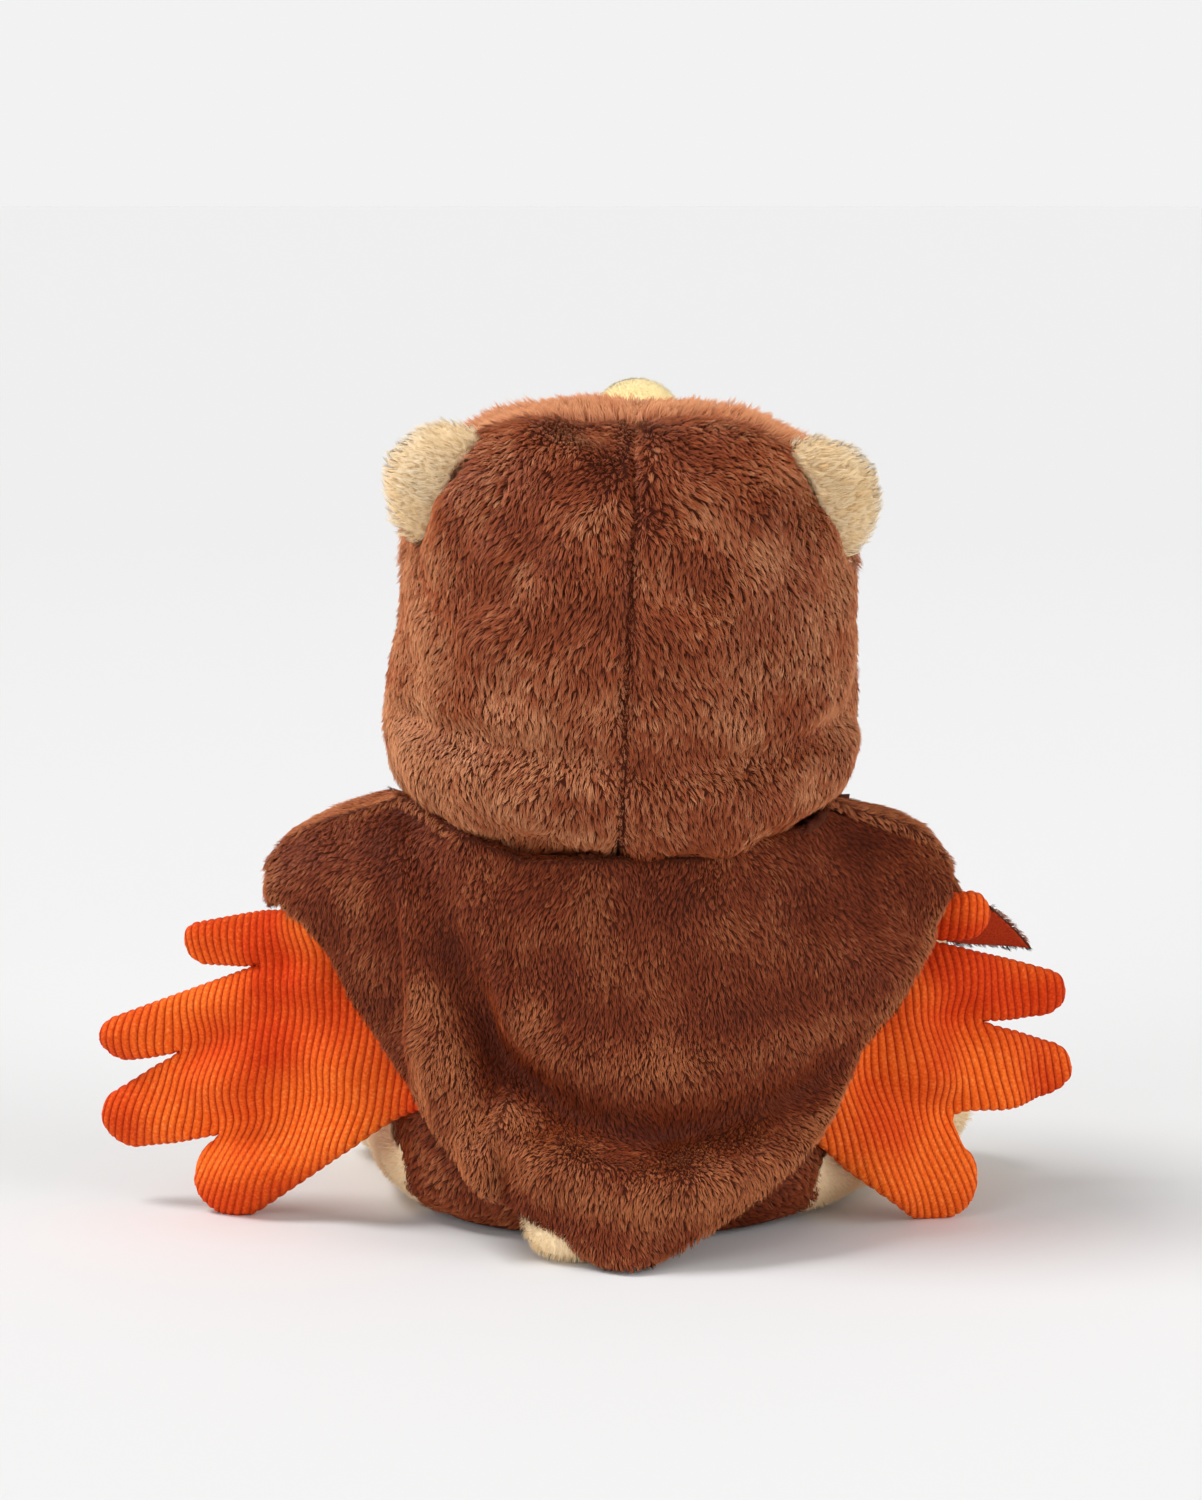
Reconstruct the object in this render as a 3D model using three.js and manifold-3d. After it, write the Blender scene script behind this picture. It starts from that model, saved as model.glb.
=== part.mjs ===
// A seated plush teddy bear in a hooded bird costume: a cream bear, a brown plush hood, cape and
// shorts, and padded orange corduroy wings. Millimetres, +Z up, the bear faces -Y and sits on z = 0.
import * as THREE from 'three';
import { mergeVertices } from 'three/addons/utils/BufferGeometryUtils.js';
import Module from 'manifold-3d';

const wasm = await Module();
wasm.setup();

// Cloth and clearances
const GAP = 0.3; // between two pieces that touch
const PLUSH = 2.6; // long-pile costume cloth, backing and pressed pile
const LINING = 1; // lining cloth
const SKIN = 2; // short-pile cloth of the bear
const FLOOR_GAP = 0.3; // what only brushes the floor stays this far above it

// Torso: an egg with a flat seat, sewn to the head at its top
const TORSO_HALF_WIDTH = 58.5;
const TORSO_DEPTH_RATIO = 0.75;
const TORSO_SHAPE = [
  [0.77, 0], [0.93, 0.08], [1, 0.25], [0.97, 0.44], [0.85, 0.67], [0.66, 0.85], [0.52, 0.95], [0.49, 1],
];
const NECK_HOLE_RADIUS = 22;
const PELLET_BAG = new THREE.Vector3(36, 25, 13); // half sizes
const WAIST_HEIGHT = 48; // top edge of the shorts

// Head and hood: one rounded form, the hood outermost
const HOOD_HALF_WIDTH = 66.5;
const HOOD_BOTTOM = 109;
const HOOD_HEIGHT = 123.5;
const HOOD_TOP = HOOD_BOTTOM + HOOD_HEIGHT;
const HOOD_DEPTH_RATIO = 0.9;
const HOOD_SHAPE = [
  [0.5, 0], [0.74, 0.03], [0.9, 0.095], [0.985, 0.21], [1, 0.41], [0.975, 0.615],
  [0.915, 0.78], [0.8, 0.905], [0.6, 0.975], [0.3, 0.997], [0, 1],
];
const HEAD_TILT_DEG = 2.2; // the head leans to the bear's right
const HOOD_NECK_RADIUS = 36;
const FACE_HALF_WIDTH = 45;
const FACE_HALF_HEIGHT = 42;
const FACE_HEIGHT = HOOD_BOTTOM + 0.478 * HOOD_HEIGHT;
const SEAM_HEIGHT = HOOD_BOTTOM + 0.575 * HOOD_HEIGHT; // the hood's side seams pass the head's axis here
const SEAM_LEAN_DEG = 22.5;
const EAR_RADIUS = 17.5;
const EAR_THICKNESS = 13;
const EAR_SIDE = 50.5;
const EAR_BACK = 10;
const EAR_HEIGHT = HOOD_BOTTOM + 0.81 * HOOD_HEIGHT;
const EAR_SLIT_OFFSET = 1.6; // the slit's straight edge, outward of the ear's centre

// Face
const MUZZLE = new THREE.Vector3(25, 20, 19); // half sizes
const MUZZLE_HEIGHT = HOOD_BOTTOM + 0.373 * HOOD_HEIGHT;
const NOSE = new THREE.Vector3(8, 5, 5.5); // half sizes
const EYE_RADIUS = 5;
const EYE_STEM_RADIUS = 1.6;
const EYE_STEM_LENGTH = 9;
const EYE_SIDE = 22;
const EYE_HEIGHT = HOOD_BOTTOM + 0.551 * HOOD_HEIGHT;
const WASHER_RADIUS = 5;
const WASHER_THICKNESS = 1.5;
const BEAK = new THREE.Vector3(11.5, 19, 9.5); // half width, half length, half height
const BEAK_BACK = -38;
const BEAK_HEIGHT = HOOD_BOTTOM + 0.951 * HOOD_HEIGHT;
const BEAK_PITCH_DEG = 30;
const PATCH_RADIUS = 13;
const PATCH_THICKNESS = 2.4;
const PATCH_SIDE = 21;
const PATCH_BACK = -31;

// Arms, under the cape
const SHOULDER = new THREE.Vector3(38, -4, 91);
const PAW = new THREE.Vector3(92, -34, 80); // the arm points at this
const ARM_LENGTH = 68;
const ARM_RADIUS = 15.5;
const ARM_LOWER_DEG = 12;

// Legs: straight out on the floor, each with its own splay
const HIP = new THREE.Vector2(40, 2);
const THIGH_RADIUS = 20.5;
const LEG_LENGTH = 86;
const LEG_SPLAY_LEFT_DEG = 22;
const LEG_SPLAY_RIGHT_DEG = 40;
const LEG_LIFT_DEG = 12;
const FOOT = new THREE.Vector3(19.5, 25, 30); // half width, half height, half length
const FOOT_CUT = 12; // the flat of the sole, forward of the foot's middle
const SOLE_HALF_WIDTH = 15.5;
const SOLE_HALF_HEIGHT = 19.5;
const SOLE_THICKNESS = 2;
const TAIL = new THREE.Vector3(20, 15, 13); // half sizes
const TAIL_BACK = 46;
const TAIL_SIDE = 4; // sewn a little to the bear's left

// Wings: flat padded hands of four feathers, swept forward from a root on the bear's back
const WING_ROOT = new THREE.Vector2(30, 34.8);
const WING_SWEEP_DEG = 20.2;
const WING_THICKNESS = 6;
const WING_FORWARD_DEG = 8;
const WING_BACK_DEG = 2;
// Each wing drawn flat as [out from the root, height]: its shoulder, then from the top down each feather's
// round tip and the notch below it. The right wing is tucked further in under the cape and held higher.
const WING_SHAPES = {
  left: {
    shoulder: [66, 90.5],
    feathers: [
      { tip: [95.7, 79], radius: 4.8, notch: [70, 75.5] },
      { tip: [121, 49.5], radius: 5.2, notch: [100.5, 47.5] },
      { tip: [119.5, 25.8], radius: 7.5, notch: [93.5, 22.5] },
      { tip: [86.5, 12], radius: 11.3, notch: [37.5, 33] },
    ],
  },
  right: {
    shoulder: [45, 92],
    feathers: [
      { tip: [73.5, 89], radius: 5.6, notch: [58, 82] },
      { tip: [97.3, 65], radius: 5.4, notch: [76, 57.4] },
      { tip: [100, 41.5], radius: 6.6, notch: [71, 31.3] },
      { tip: [65.5, 12], radius: 11.3, notch: [27.7, 26.7] },
    ],
  },
};
const WING_ROOT_TOP = 90;
const WING_ROOT_BOTTOM = 50;
const WING_ROOT_DEPTH = 5; // the wing runs this far past its hinge, onto the bear's back

// Cape: a back panel cut to a point, and a shoulder and front panel on each side
const CAPE_TOP = 112;
const CAPE_NECK_BACK = 47;
const CAPE_NECK_HALF_WIDTH = 40;
const CAPE_HALF_WIDTH = 97;
const CAPE_CORNER_HEIGHT = 97;
const CAPE_CORNER_BACK = 19;
const CAPE_TIP_BACK = 73;
const CAPE_TIP_HEIGHT = 2.5;
const CAPE_TIP_HALF_WIDTH = 24; // where the straight edges would reach the floor
const CAPE_TIP_START = 0.88; // share of the length where the tip starts to round
const CAPE_SAG = 5; // depth of the smile-shaped fold across the seat
const CAPE_HEM_SIDE = 112;
const CAPE_HEM_HEIGHT = 68;
const CAPE_HEM_FRONT = -50;
const LINING_INSET = 0.04; // the lining stops short of the cape's edges, as a share of its size
const SHOULDER_RISE = 9; // the cloth's fold over the shoulder
const CAPE_FRONT_LENGTH = 110; // from the shoulder seam over the shoulder to the hem
const TAB = new THREE.Vector3(30, 2.2, 11); // closing tab, full sizes
const TAB_RISE = 4; // above the hem

// Faceting
const ROUND = 18; // facets round the torso, head and hood
const PROFILE_STEPS = 9;
const LIMB_ROUND = 12;
const LIMB_STEPS = 7;
const CLOTH_ACROSS = 16;
const CLOTH_DOWN = 11;
const PANEL_ACROSS = 8;
const PANEL_DOWN = 9;
const TAB_ACROSS = 6;

// Values that follow from the above
const rad = THREE.MathUtils.degToRad;
const TORSO_BOTTOM = PLUSH + GAP;
const HEAD_INSET = PLUSH + LINING + 2 * GAP;
const NECK_HALF_WIDTH = TORSO_HALF_WIDTH * TORSO_SHAPE.at(-1)[0];
const TORSO_TOP = HOOD_BOTTOM + HEAD_INSET - GAP - NECK_HALF_WIDTH * Math.sin(rad(HEAD_TILT_DEG));
const TORSO_REAR = TORSO_HALF_WIDTH * TORSO_DEPTH_RATIO;
const SHORTS_REAR = TORSO_REAR + PLUSH + GAP;
const NECK = new THREE.Vector3(0, 0, HOOD_BOTTOM);
const CAPE_HINGE = new THREE.Vector3(0, CAPE_NECK_BACK - PLUSH, CAPE_TOP);
const BIG = 600; // larger than the whole bear, for cutters

// Solids for joining and cutting

// A closed body from a geometry, its facets turned outward.
function solid(geometry) {
  const bare = new THREE.BufferGeometry();
  bare.setAttribute('position', geometry.getAttribute('position').clone());
  if (geometry.index) bare.setIndex(geometry.index.clone());
  const merged = mergeVertices(bare, 1e-4);
  const corners = [];
  const old = merged.index.array;
  for (let i = 0; i < old.length; i += 3) {
    const [a, b, c] = [old[i], old[i + 1], old[i + 2]];
    if (a !== b && b !== c && c !== a) corners.push(a, b, c);
  }
  const place = merged.getAttribute('position');
  const [p, q, r] = [new THREE.Vector3(), new THREE.Vector3(), new THREE.Vector3()];
  let volume = 0;
  for (let i = 0; i < corners.length; i += 3) {
    p.fromBufferAttribute(place, corners[i]);
    q.fromBufferAttribute(place, corners[i + 1]);
    r.fromBufferAttribute(place, corners[i + 2]);
    volume += p.dot(q.cross(r));
  }
  if (volume < 0) corners.reverse();
  return new wasm.Manifold(new wasm.Mesh({
    numProp: 3,
    vertProperties: Float32Array.from(place.array),
    triVerts: Uint32Array.from(corners),
  }));
}

function geometryOf(body) {
  const mesh = body.getMesh();
  const geometry = new THREE.BufferGeometry();
  geometry.setAttribute('position', new THREE.BufferAttribute(mesh.vertProperties, 3));
  geometry.setIndex(new THREE.BufferAttribute(mesh.triVerts, 1));
  return geometry;
}

// The body with everything in a list cut away.
const without = (body, ...others) => others.reduce((left, other) => left.subtract(other), body);

// The same, with any offcut that the cutting leaves dropped.
function trimmed(body, ...others) {
  const pieces = without(body, ...others).decompose();
  return pieces.reduce((largest, piece) => (piece.volume() > largest.volume() ? piece : largest));
}

// A body turned about an axis through a pivot.
function turned(body, pivot, axis, degrees) {
  const geometry = geometryOf(body);
  geometry.translate(-pivot.x, -pivot.y, -pivot.z);
  geometry.applyMatrix4(new THREE.Matrix4().makeRotationAxis(axis, rad(degrees)));
  geometry.translate(pivot.x, pivot.y, pivot.z);
  return solid(geometry);
}

// What an obstacle sweeps, seen from a piece that turns about a hinge through the given angles.
function swept(obstacle, pivot, axis, angles) {
  return angles.map((angle) => (angle === 0 ? obstacle : turned(obstacle, pivot, axis, -angle)));
}

// Everything on one side of a plane.
function halfSpace(point, outward) {
  const block = new THREE.BoxGeometry(BIG, BIG, BIG);
  block.translate(0, 0, BIG / 2);
  const up = new THREE.Vector3(0, 0, 1);
  block.applyQuaternion(new THREE.Quaternion().setFromUnitVectors(up, outward.clone().normalize()));
  block.translate(point.x, point.y, point.z);
  return solid(block);
}

// Forms

// An upright stuffed form, revolved from a side outline and flattened front to back. The outline's
// points are shares of the half width and of the height; grow moves the whole skin outward.
function revolved(shape, halfWidth, bottom, top, depthRatio, grow = 0) {
  const side = shape.map(([w, h]) => new THREE.Vector2(w * halfWidth, bottom + h * (top - bottom)));
  const line = new THREE.SplineCurve(side).getPoints(PROFILE_STEPS);
  const outline = line.map((point, i) => {
    const before = line[Math.max(i - 1, 0)];
    const after = line[Math.min(i + 1, line.length - 1)];
    const along = after.clone().sub(before).normalize();
    return new THREE.Vector2(Math.max(point.x + grow * along.y, 0), point.y - grow * along.x);
  });
  outline[0].y = bottom - grow;
  outline.at(-1).y = top + grow;
  const closed = [new THREE.Vector2(0, outline[0].y), ...outline];
  if (outline.at(-1).x > 0) closed.push(new THREE.Vector2(0, outline.at(-1).y));
  const geometry = new THREE.LatheGeometry(closed, ROUND);
  geometry.rotateX(Math.PI / 2);
  geometry.scale(1, depthRatio, 1);
  return solid(geometry);
}

function ellipsoid(centre, half, grow = 0, rotation = null) {
  const geometry = new THREE.SphereGeometry(1, LIMB_ROUND, LIMB_STEPS + 1);
  geometry.scale(half.x + grow, half.y + grow, half.z + grow);
  if (rotation) geometry.applyMatrix4(new THREE.Matrix4().makeRotationFromEuler(rotation));
  geometry.translate(centre.x, centre.y, centre.z);
  return solid(geometry);
}

// A stuffed limb: a revolved outline of [radius, distance] laid along a direction.
function limb(outline, from, direction, grow = 0) {
  const points = outline.map(([radius, distance]) => new THREE.Vector2(radius, distance));
  const curve = new THREE.SplineCurve(points).getPoints(LIMB_STEPS);
  for (const point of curve) point.x = Math.max(point.x + grow, 0);
  const first = new THREE.Vector2(0, curve[0].y - grow);
  const last = new THREE.Vector2(0, curve.at(-1).y + grow);
  const geometry = new THREE.LatheGeometry([first, ...curve, last], LIMB_ROUND);
  const turn = new THREE.Quaternion().setFromUnitVectors(new THREE.Vector3(0, 1, 0), direction);
  geometry.applyQuaternion(turn);
  geometry.translate(from.x, from.y, from.z);
  return solid(geometry);
}

// A round bar or disc along Y or Z.
function bar(radius, length, along) {
  const geometry = new THREE.CylinderGeometry(radius, radius, length, ROUND);
  if (along === 'z') geometry.rotateX(Math.PI / 2);
  return geometry;
}

// A sheet of cloth of even thickness behind a surface, the surface given over a unit square. A margin
// is how far the sheet's edges stop short of the square's.
function sheet(surface, across, down, inset, thickness, margin = 0) {
  const step = 1e-3;
  const within = (share) => THREE.MathUtils.clamp(share, margin, 1 - margin);
  const corners = [];
  const layer = (depth) => {
    for (let j = 0; j <= down; j++) {
      for (let i = 0; i <= across; i++) {
        const [u, v] = [within(i / across), within(j / down)];
        const [ua, ub] = [Math.max(u - step, 0), Math.min(u + step, 1)];
        const [va, vb] = [Math.max(v - step, 0), Math.min(v + step, 1)];
        const alongU = surface(ub, v).sub(surface(ua, v));
        const alongV = surface(u, vb).sub(surface(u, va));
        const outward = alongU.cross(alongV).normalize();
        corners.push(...surface(u, v).addScaledVector(outward, -depth).toArray());
      }
    }
  };
  layer(inset);
  layer(inset + thickness);
  const row = across + 1;
  const under = row * (down + 1);
  const faces = [];
  const quad = (a, b, c, d) => faces.push(a, b, c, a, c, d);
  for (let j = 0; j < down; j++) {
    for (let i = 0; i < across; i++) {
      const a = j * row + i;
      quad(a, a + 1, a + row + 1, a + row);
      quad(under + a, under + a + row, under + a + row + 1, under + a + 1);
    }
    const left = j * row;
    const right = left + across;
    quad(left, left + row, under + left + row, under + left);
    quad(right, under + right, under + right + row, right + row);
  }
  for (let i = 0; i < across; i++) {
    const low = down * row + i;
    quad(i, under + i, under + i + 1, i + 1);
    quad(low, low + 1, under + low + 1, under + low);
  }
  const geometry = new THREE.BufferGeometry();
  geometry.setAttribute('position', new THREE.BufferAttribute(new Float32Array(corners), 3));
  geometry.setIndex(faces);
  return solid(geometry);
}

const vec = (x, y, z) => new THREE.Vector3(x, y, z);
const mirrored = (point, side) => vec(point.x * side, point.y, point.z);
const floor = halfSpace(vec(0, 0, FLOOR_GAP), vec(0, 0, -1));
const sides = { left: 1, right: -1 };

// Materials
const cloth = (color, roughness = 0.95) => new THREE.MeshStandardMaterial({ color, roughness, metalness: 0 });
const creamPlush = cloth('#e9c29b');
const brownPlush = cloth('#8a4a2c');
const orangeCord = cloth('#e04f1b');
const orangeLining = cloth('#c23c14', 0.85);
const yellowPlush = cloth('#fad682');
const whitePlush = cloth('#f4f1ec');
const stuffing = cloth('#f2f0ea');
const calico = cloth('#d9cdb4');
const eyePlastic = cloth('#241711', 0.2);
const washerPlastic = cloth('#e8e8e4', 0.6);
const tapeCloth = cloth('#6b3a22', 0.8);

// Body groups, each at the hinge that carries it
const bear = new THREE.Group();
function bodyGroup(pivot, tilt = null) {
  const group = new THREE.Group();
  group.position.copy(pivot);
  if (tilt) group.rotation.copy(tilt);
  bear.add(group);
  group.updateMatrixWorld(true);
  return group;
}
function addMesh(group, name, body, material) {
  const geometry = geometryOf(body);
  geometry.applyMatrix4(group.matrixWorld.clone().invert());
  const mesh = new THREE.Mesh(geometry, material);
  mesh.name = name;
  group.add(mesh);
}
const torsoGroup = bodyGroup(vec(0, 0, 0));
const headGroup = bodyGroup(NECK, new THREE.Euler(0, -rad(HEAD_TILT_DEG), 0));
const headPlace = headGroup.matrixWorld.clone().multiply(new THREE.Matrix4().makeTranslation(0, 0, -NECK.z));
// Pieces of the head are shaped upright and then leaned over with the head.
function addHeadMesh(name, body, material) {
  addMesh(headGroup, name, solid(geometryOf(body).applyMatrix4(headPlace)), material);
}

// Torso
const torsoForm = (grow) => (
  revolved(TORSO_SHAPE, TORSO_HALF_WIDTH, TORSO_BOTTOM, TORSO_TOP, TORSO_DEPTH_RATIO, grow)
);
const torsoSkin = torsoForm(0);
const torsoClear = torsoForm(GAP);
const neckHole = solid(bar(NECK_HOLE_RADIUS, 4 * SKIN, 'z').translate(0, 0, TORSO_TOP));
const pelletFloor = TORSO_BOTTOM + SKIN + GAP;
const pelletCentre = vec(0, 0, pelletFloor + PELLET_BAG.z / 2);
const belowPellets = halfSpace(vec(0, 0, pelletFloor), vec(0, 0, -1));
addMesh(torsoGroup, 'torso_cover', without(torsoSkin, torsoForm(-SKIN), neckHole), creamPlush);
addMesh(
  torsoGroup,
  'torso_stuffing',
  without(torsoForm(-SKIN - GAP), ellipsoid(pelletCentre, PELLET_BAG, GAP)),
  stuffing,
);
addMesh(torsoGroup, 'pellet_bag', without(ellipsoid(pelletCentre, PELLET_BAG), belowPellets), calico);

// Arms
const armOutline = [
  [0.2, -12], [12, -9], [ARM_RADIUS, 4], [ARM_RADIUS * 0.96, 0.45 * ARM_LENGTH],
  [ARM_RADIUS * 1.06, 0.72 * ARM_LENGTH], [ARM_RADIUS * 0.84, ARM_LENGTH - 6], [0.2, ARM_LENGTH],
];
const armForms = {};
const armSwings = [0, ARM_LOWER_DEG / 2, ARM_LOWER_DEG];
for (const [name, side] of Object.entries(sides)) {
  const pivot = mirrored(SHOULDER, side);
  const direction = mirrored(PAW, side).sub(pivot).normalize();
  const axis = vec(0, side, 0);
  armForms[name] = (grow) => limb(armOutline, pivot, direction, grow);
  const cutters = swept(torsoClear, pivot, axis, armSwings);
  addMesh(bodyGroup(pivot), `arm_${name}`, trimmed(armForms[name](0), ...cutters), creamPlush);
}

// Legs, soles, tail and shorts
const legOutline = [
  [0.2, -14], [15, -11], [THIGH_RADIUS - 0.5, 2], [THIGH_RADIUS, 22],
  [THIGH_RADIUS * 0.9, 44], [THIGH_RADIUS * 0.82, 60], [THIGH_RADIUS * 0.7, LEG_LENGTH - FOOT_CUT],
];
const splay = { left: LEG_SPLAY_LEFT_DEG, right: LEG_SPLAY_RIGHT_DEG };
const legSwings = [0, LEG_LIFT_DEG / 2, LEG_LIFT_DEG];
const shortsCutters = [];
const shortsOuter = torsoForm(GAP + PLUSH);
for (const [name, side] of Object.entries(sides)) {
  const pivot = vec(HIP.x * side, HIP.y, THIGH_RADIUS + FLOOR_GAP);
  const direction = vec(Math.sin(rad(splay[name])) * side, -Math.cos(rad(splay[name])), 0);
  const axis = direction.clone().cross(vec(0, 0, 1));
  const footTurn = new THREE.Euler(0, 0, rad(splay[name]) * side);
  const footCentre = pivot.clone().addScaledVector(direction, LEG_LENGTH - FOOT_CUT);
  footCentre.z = FOOT.y + FLOOR_GAP;
  const soleFace = pivot.clone().addScaledVector(direction, LEG_LENGTH);
  const legForm = (grow) => {
    const foot = ellipsoid(footCentre, vec(FOOT.x, FOOT.z, FOOT.y), grow, footTurn);
    return limb(legOutline, pivot, direction, grow).add(foot).subtract(halfSpace(soleFace, direction));
  };
  const group = bodyGroup(pivot);
  const cutters = swept(torsoForm(2 * GAP), pivot, axis, legSwings);
  addMesh(group, `leg_${name}`, trimmed(legForm(0), ...cutters, floor), creamPlush);
  const sole = new THREE.LatheGeometry([
    new THREE.Vector2(0, GAP),
    new THREE.Vector2(1, GAP),
    new THREE.Vector2(1, GAP + SOLE_THICKNESS / 2),
    new THREE.Vector2(0.92, GAP + SOLE_THICKNESS),
    new THREE.Vector2(0, GAP + SOLE_THICKNESS),
  ], ROUND);
  sole.rotateX(Math.PI);
  sole.scale(SOLE_HALF_WIDTH, 1, SOLE_HALF_HEIGHT);
  sole.applyMatrix4(new THREE.Matrix4().makeRotationFromEuler(footTurn));
  sole.translate(soleFace.x, soleFace.y, footCentre.z);
  addMesh(group, `sole_${name}`, solid(sole), creamPlush);
  shortsCutters.push(...legSwings.map((angle) => turned(legForm(3 * GAP), pivot, axis, angle)));
}
const tailCentre = vec(TAIL_SIDE, TAIL_BACK, TAIL.z + FLOOR_GAP);
addMesh(torsoGroup, 'tail', trimmed(ellipsoid(tailCentre, TAIL), torsoClear, floor), creamPlush);
const aboveWaist = halfSpace(vec(0, 0, WAIST_HEIGHT), vec(0, 0, 1));
const shorts = trimmed(shortsOuter, torsoClear, aboveWaist, ...shortsCutters, ellipsoid(tailCentre, TAIL, GAP));
addMesh(torsoGroup, 'shorts', shorts, brownPlush);

// Head cover and stuffing, ears and face
const hoodForm = (grow) => (
  revolved(HOOD_SHAPE, HOOD_HALF_WIDTH, HOOD_BOTTOM, HOOD_TOP, HOOD_DEPTH_RATIO, grow)
);
const headFront = -(HOOD_HALF_WIDTH - HEAD_INSET) * HOOD_DEPTH_RATIO;
const headSkin = hoodForm(-HEAD_INSET);
const headClear = hoodForm(GAP - HEAD_INSET);
const headNeckHole = solid(bar(NECK_HOLE_RADIUS, 4 * SKIN, 'z').translate(0, 0, HOOD_BOTTOM + HEAD_INSET));
const muzzleCentre = vec(0, headFront, MUZZLE_HEIGHT);
const noseCentre = vec(0, headFront - MUZZLE.y * 0.86, MUZZLE_HEIGHT + MUZZLE.z * 0.5);
const faceShare = Math.sqrt(1 - (EYE_SIDE / HOOD_HALF_WIDTH) ** 2);

// An eye: a domed button on a stem that points into the head.
function eyeForm(side, grow) {
  const outline = [
    [0, -EYE_RADIUS * 0.7], [0.6, -EYE_RADIUS * 0.62], [0.9, -EYE_RADIUS * 0.34], [1, 0],
  ].map(([r, y]) => new THREE.Vector2(r * EYE_RADIUS + (r > 0 ? grow : 0), y - grow));
  const stem = EYE_STEM_RADIUS + grow;
  outline.push(new THREE.Vector2(EYE_RADIUS + grow, grow));
  outline.push(new THREE.Vector2(stem, grow));
  outline.push(new THREE.Vector2(stem, EYE_STEM_LENGTH + grow));
  outline.push(new THREE.Vector2(0, EYE_STEM_LENGTH + grow));
  const geometry = new THREE.LatheGeometry(outline, LIMB_ROUND);
  geometry.translate(side * EYE_SIDE, headFront * faceShare, EYE_HEIGHT);
  return solid(geometry);
}
function washerForm(side, grow) {
  const inner = EYE_STEM_RADIUS + GAP - grow;
  const [near, far] = [-grow, WASHER_THICKNESS + grow];
  const ring = new THREE.LatheGeometry([
    new THREE.Vector2(inner, near),
    new THREE.Vector2(WASHER_RADIUS + grow, near),
    new THREE.Vector2(WASHER_RADIUS + grow, far),
    new THREE.Vector2(inner, far),
    new THREE.Vector2(inner, near),
  ], LIMB_ROUND);
  const stemEnd = headFront * faceShare + EYE_STEM_LENGTH;
  ring.translate(side * EYE_SIDE, stemEnd - WASHER_THICKNESS - 2 * GAP, EYE_HEIGHT);
  return solid(ring);
}
const eyeCutters = [];
for (const [name, side] of Object.entries(sides)) {
  eyeCutters.push(eyeForm(side, GAP), washerForm(side, GAP));
  addHeadMesh(`eye_${name}`, eyeForm(side, 0), eyePlastic);
  addHeadMesh(`eye_washer_${name}`, washerForm(side, 0), washerPlastic);
}
const earForms = Object.values(sides).map((side) => (grow) => {
  const half = vec(EAR_RADIUS, EAR_THICKNESS / 2, EAR_RADIUS);
  return ellipsoid(vec(side * EAR_SIDE, EAR_BACK, EAR_HEIGHT), half, grow);
});
Object.keys(sides).forEach((name, i) => {
  addHeadMesh(`ear_${name}`, trimmed(earForms[i](0), headClear), creamPlush);
});
const headCover = without(headSkin, hoodForm(-HEAD_INSET - SKIN), headNeckHole, ...eyeCutters);
addHeadMesh('head_cover', headCover, creamPlush);
addHeadMesh('head_stuffing', without(hoodForm(-HEAD_INSET - SKIN - GAP), ...eyeCutters), stuffing);
const muzzleForm = ellipsoid(muzzleCentre, MUZZLE);
const muzzle = trimmed(muzzleForm, headClear, ellipsoid(noseCentre, NOSE, GAP), ...eyeCutters);
addHeadMesh('muzzle', muzzle, creamPlush);
addHeadMesh('nose', ellipsoid(noseCentre, NOSE), eyePlastic);

// Hood: a front panel round the face, two back panels, ear slits between them, and a lining
const neckBore = solid(bar(HOOD_NECK_RADIUS, BIG, 'z'));
const faceBore = solid(
  new THREE.CylinderGeometry(1, 1, BIG, ROUND)
    .scale(FACE_HALF_WIDTH, 1, FACE_HALF_HEIGHT)
    .translate(0, -BIG / 2, FACE_HEIGHT),
);
const underChin = halfSpace(vec(0, 0, HOOD_BOTTOM + HEAD_INSET), vec(0, 0, -1));
const throat = neckBore.intersect(underChin);
const seamNormal = vec(0, Math.cos(rad(SEAM_LEAN_DEG)), -Math.sin(rad(SEAM_LEAN_DEG)));
const seamPoint = vec(0, 0, SEAM_HEIGHT);
const behindSeam = halfSpace(seamPoint.clone().addScaledVector(seamNormal, GAP / 2), seamNormal);
const seamFront = seamPoint.clone().addScaledVector(seamNormal, -GAP / 2);
const beforeSeam = halfSpace(seamFront, seamNormal.clone().negate());
const earCutters = earForms.map((form) => form(2 * GAP));
// The slit's edge runs at 45 degrees past the ear, so the back panel stops short of the ear's root.
const slitCutters = Object.values(sides).map((side) => {
  const outward = vec(side, 0, 1).normalize();
  const edge = vec(side * EAR_SIDE, EAR_BACK, EAR_HEIGHT).addScaledVector(outward, EAR_SLIT_OFFSET);
  return halfSpace(edge, outward);
});
const hoodShell = without(hoodForm(0), hoodForm(-PLUSH), throat, faceBore, ...earCutters);
const liningCutters = [throat, faceBore, ...earCutters, ...slitCutters.map((cut) => cut.intersect(behindSeam))];
const liningOuter = hoodForm(-PLUSH - GAP);
const liningInner = hoodForm(-PLUSH - GAP - LINING);
addHeadMesh('hood_lining', without(liningOuter, liningInner, ...liningCutters), orangeLining);
const hoodBack = without(hoodShell.intersect(behindSeam), ...slitCutters);
for (const [name, side] of Object.entries(sides)) {
  const half = halfSpace(vec((side * GAP) / 2, 0, 0), vec(side, 0, 0));
  addHeadMesh(`hood_${name}_panel`, hoodBack.intersect(half), brownPlush);
}
addHeadMesh('hood_front_panel', hoodShell.intersect(beforeSeam), brownPlush);

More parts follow.
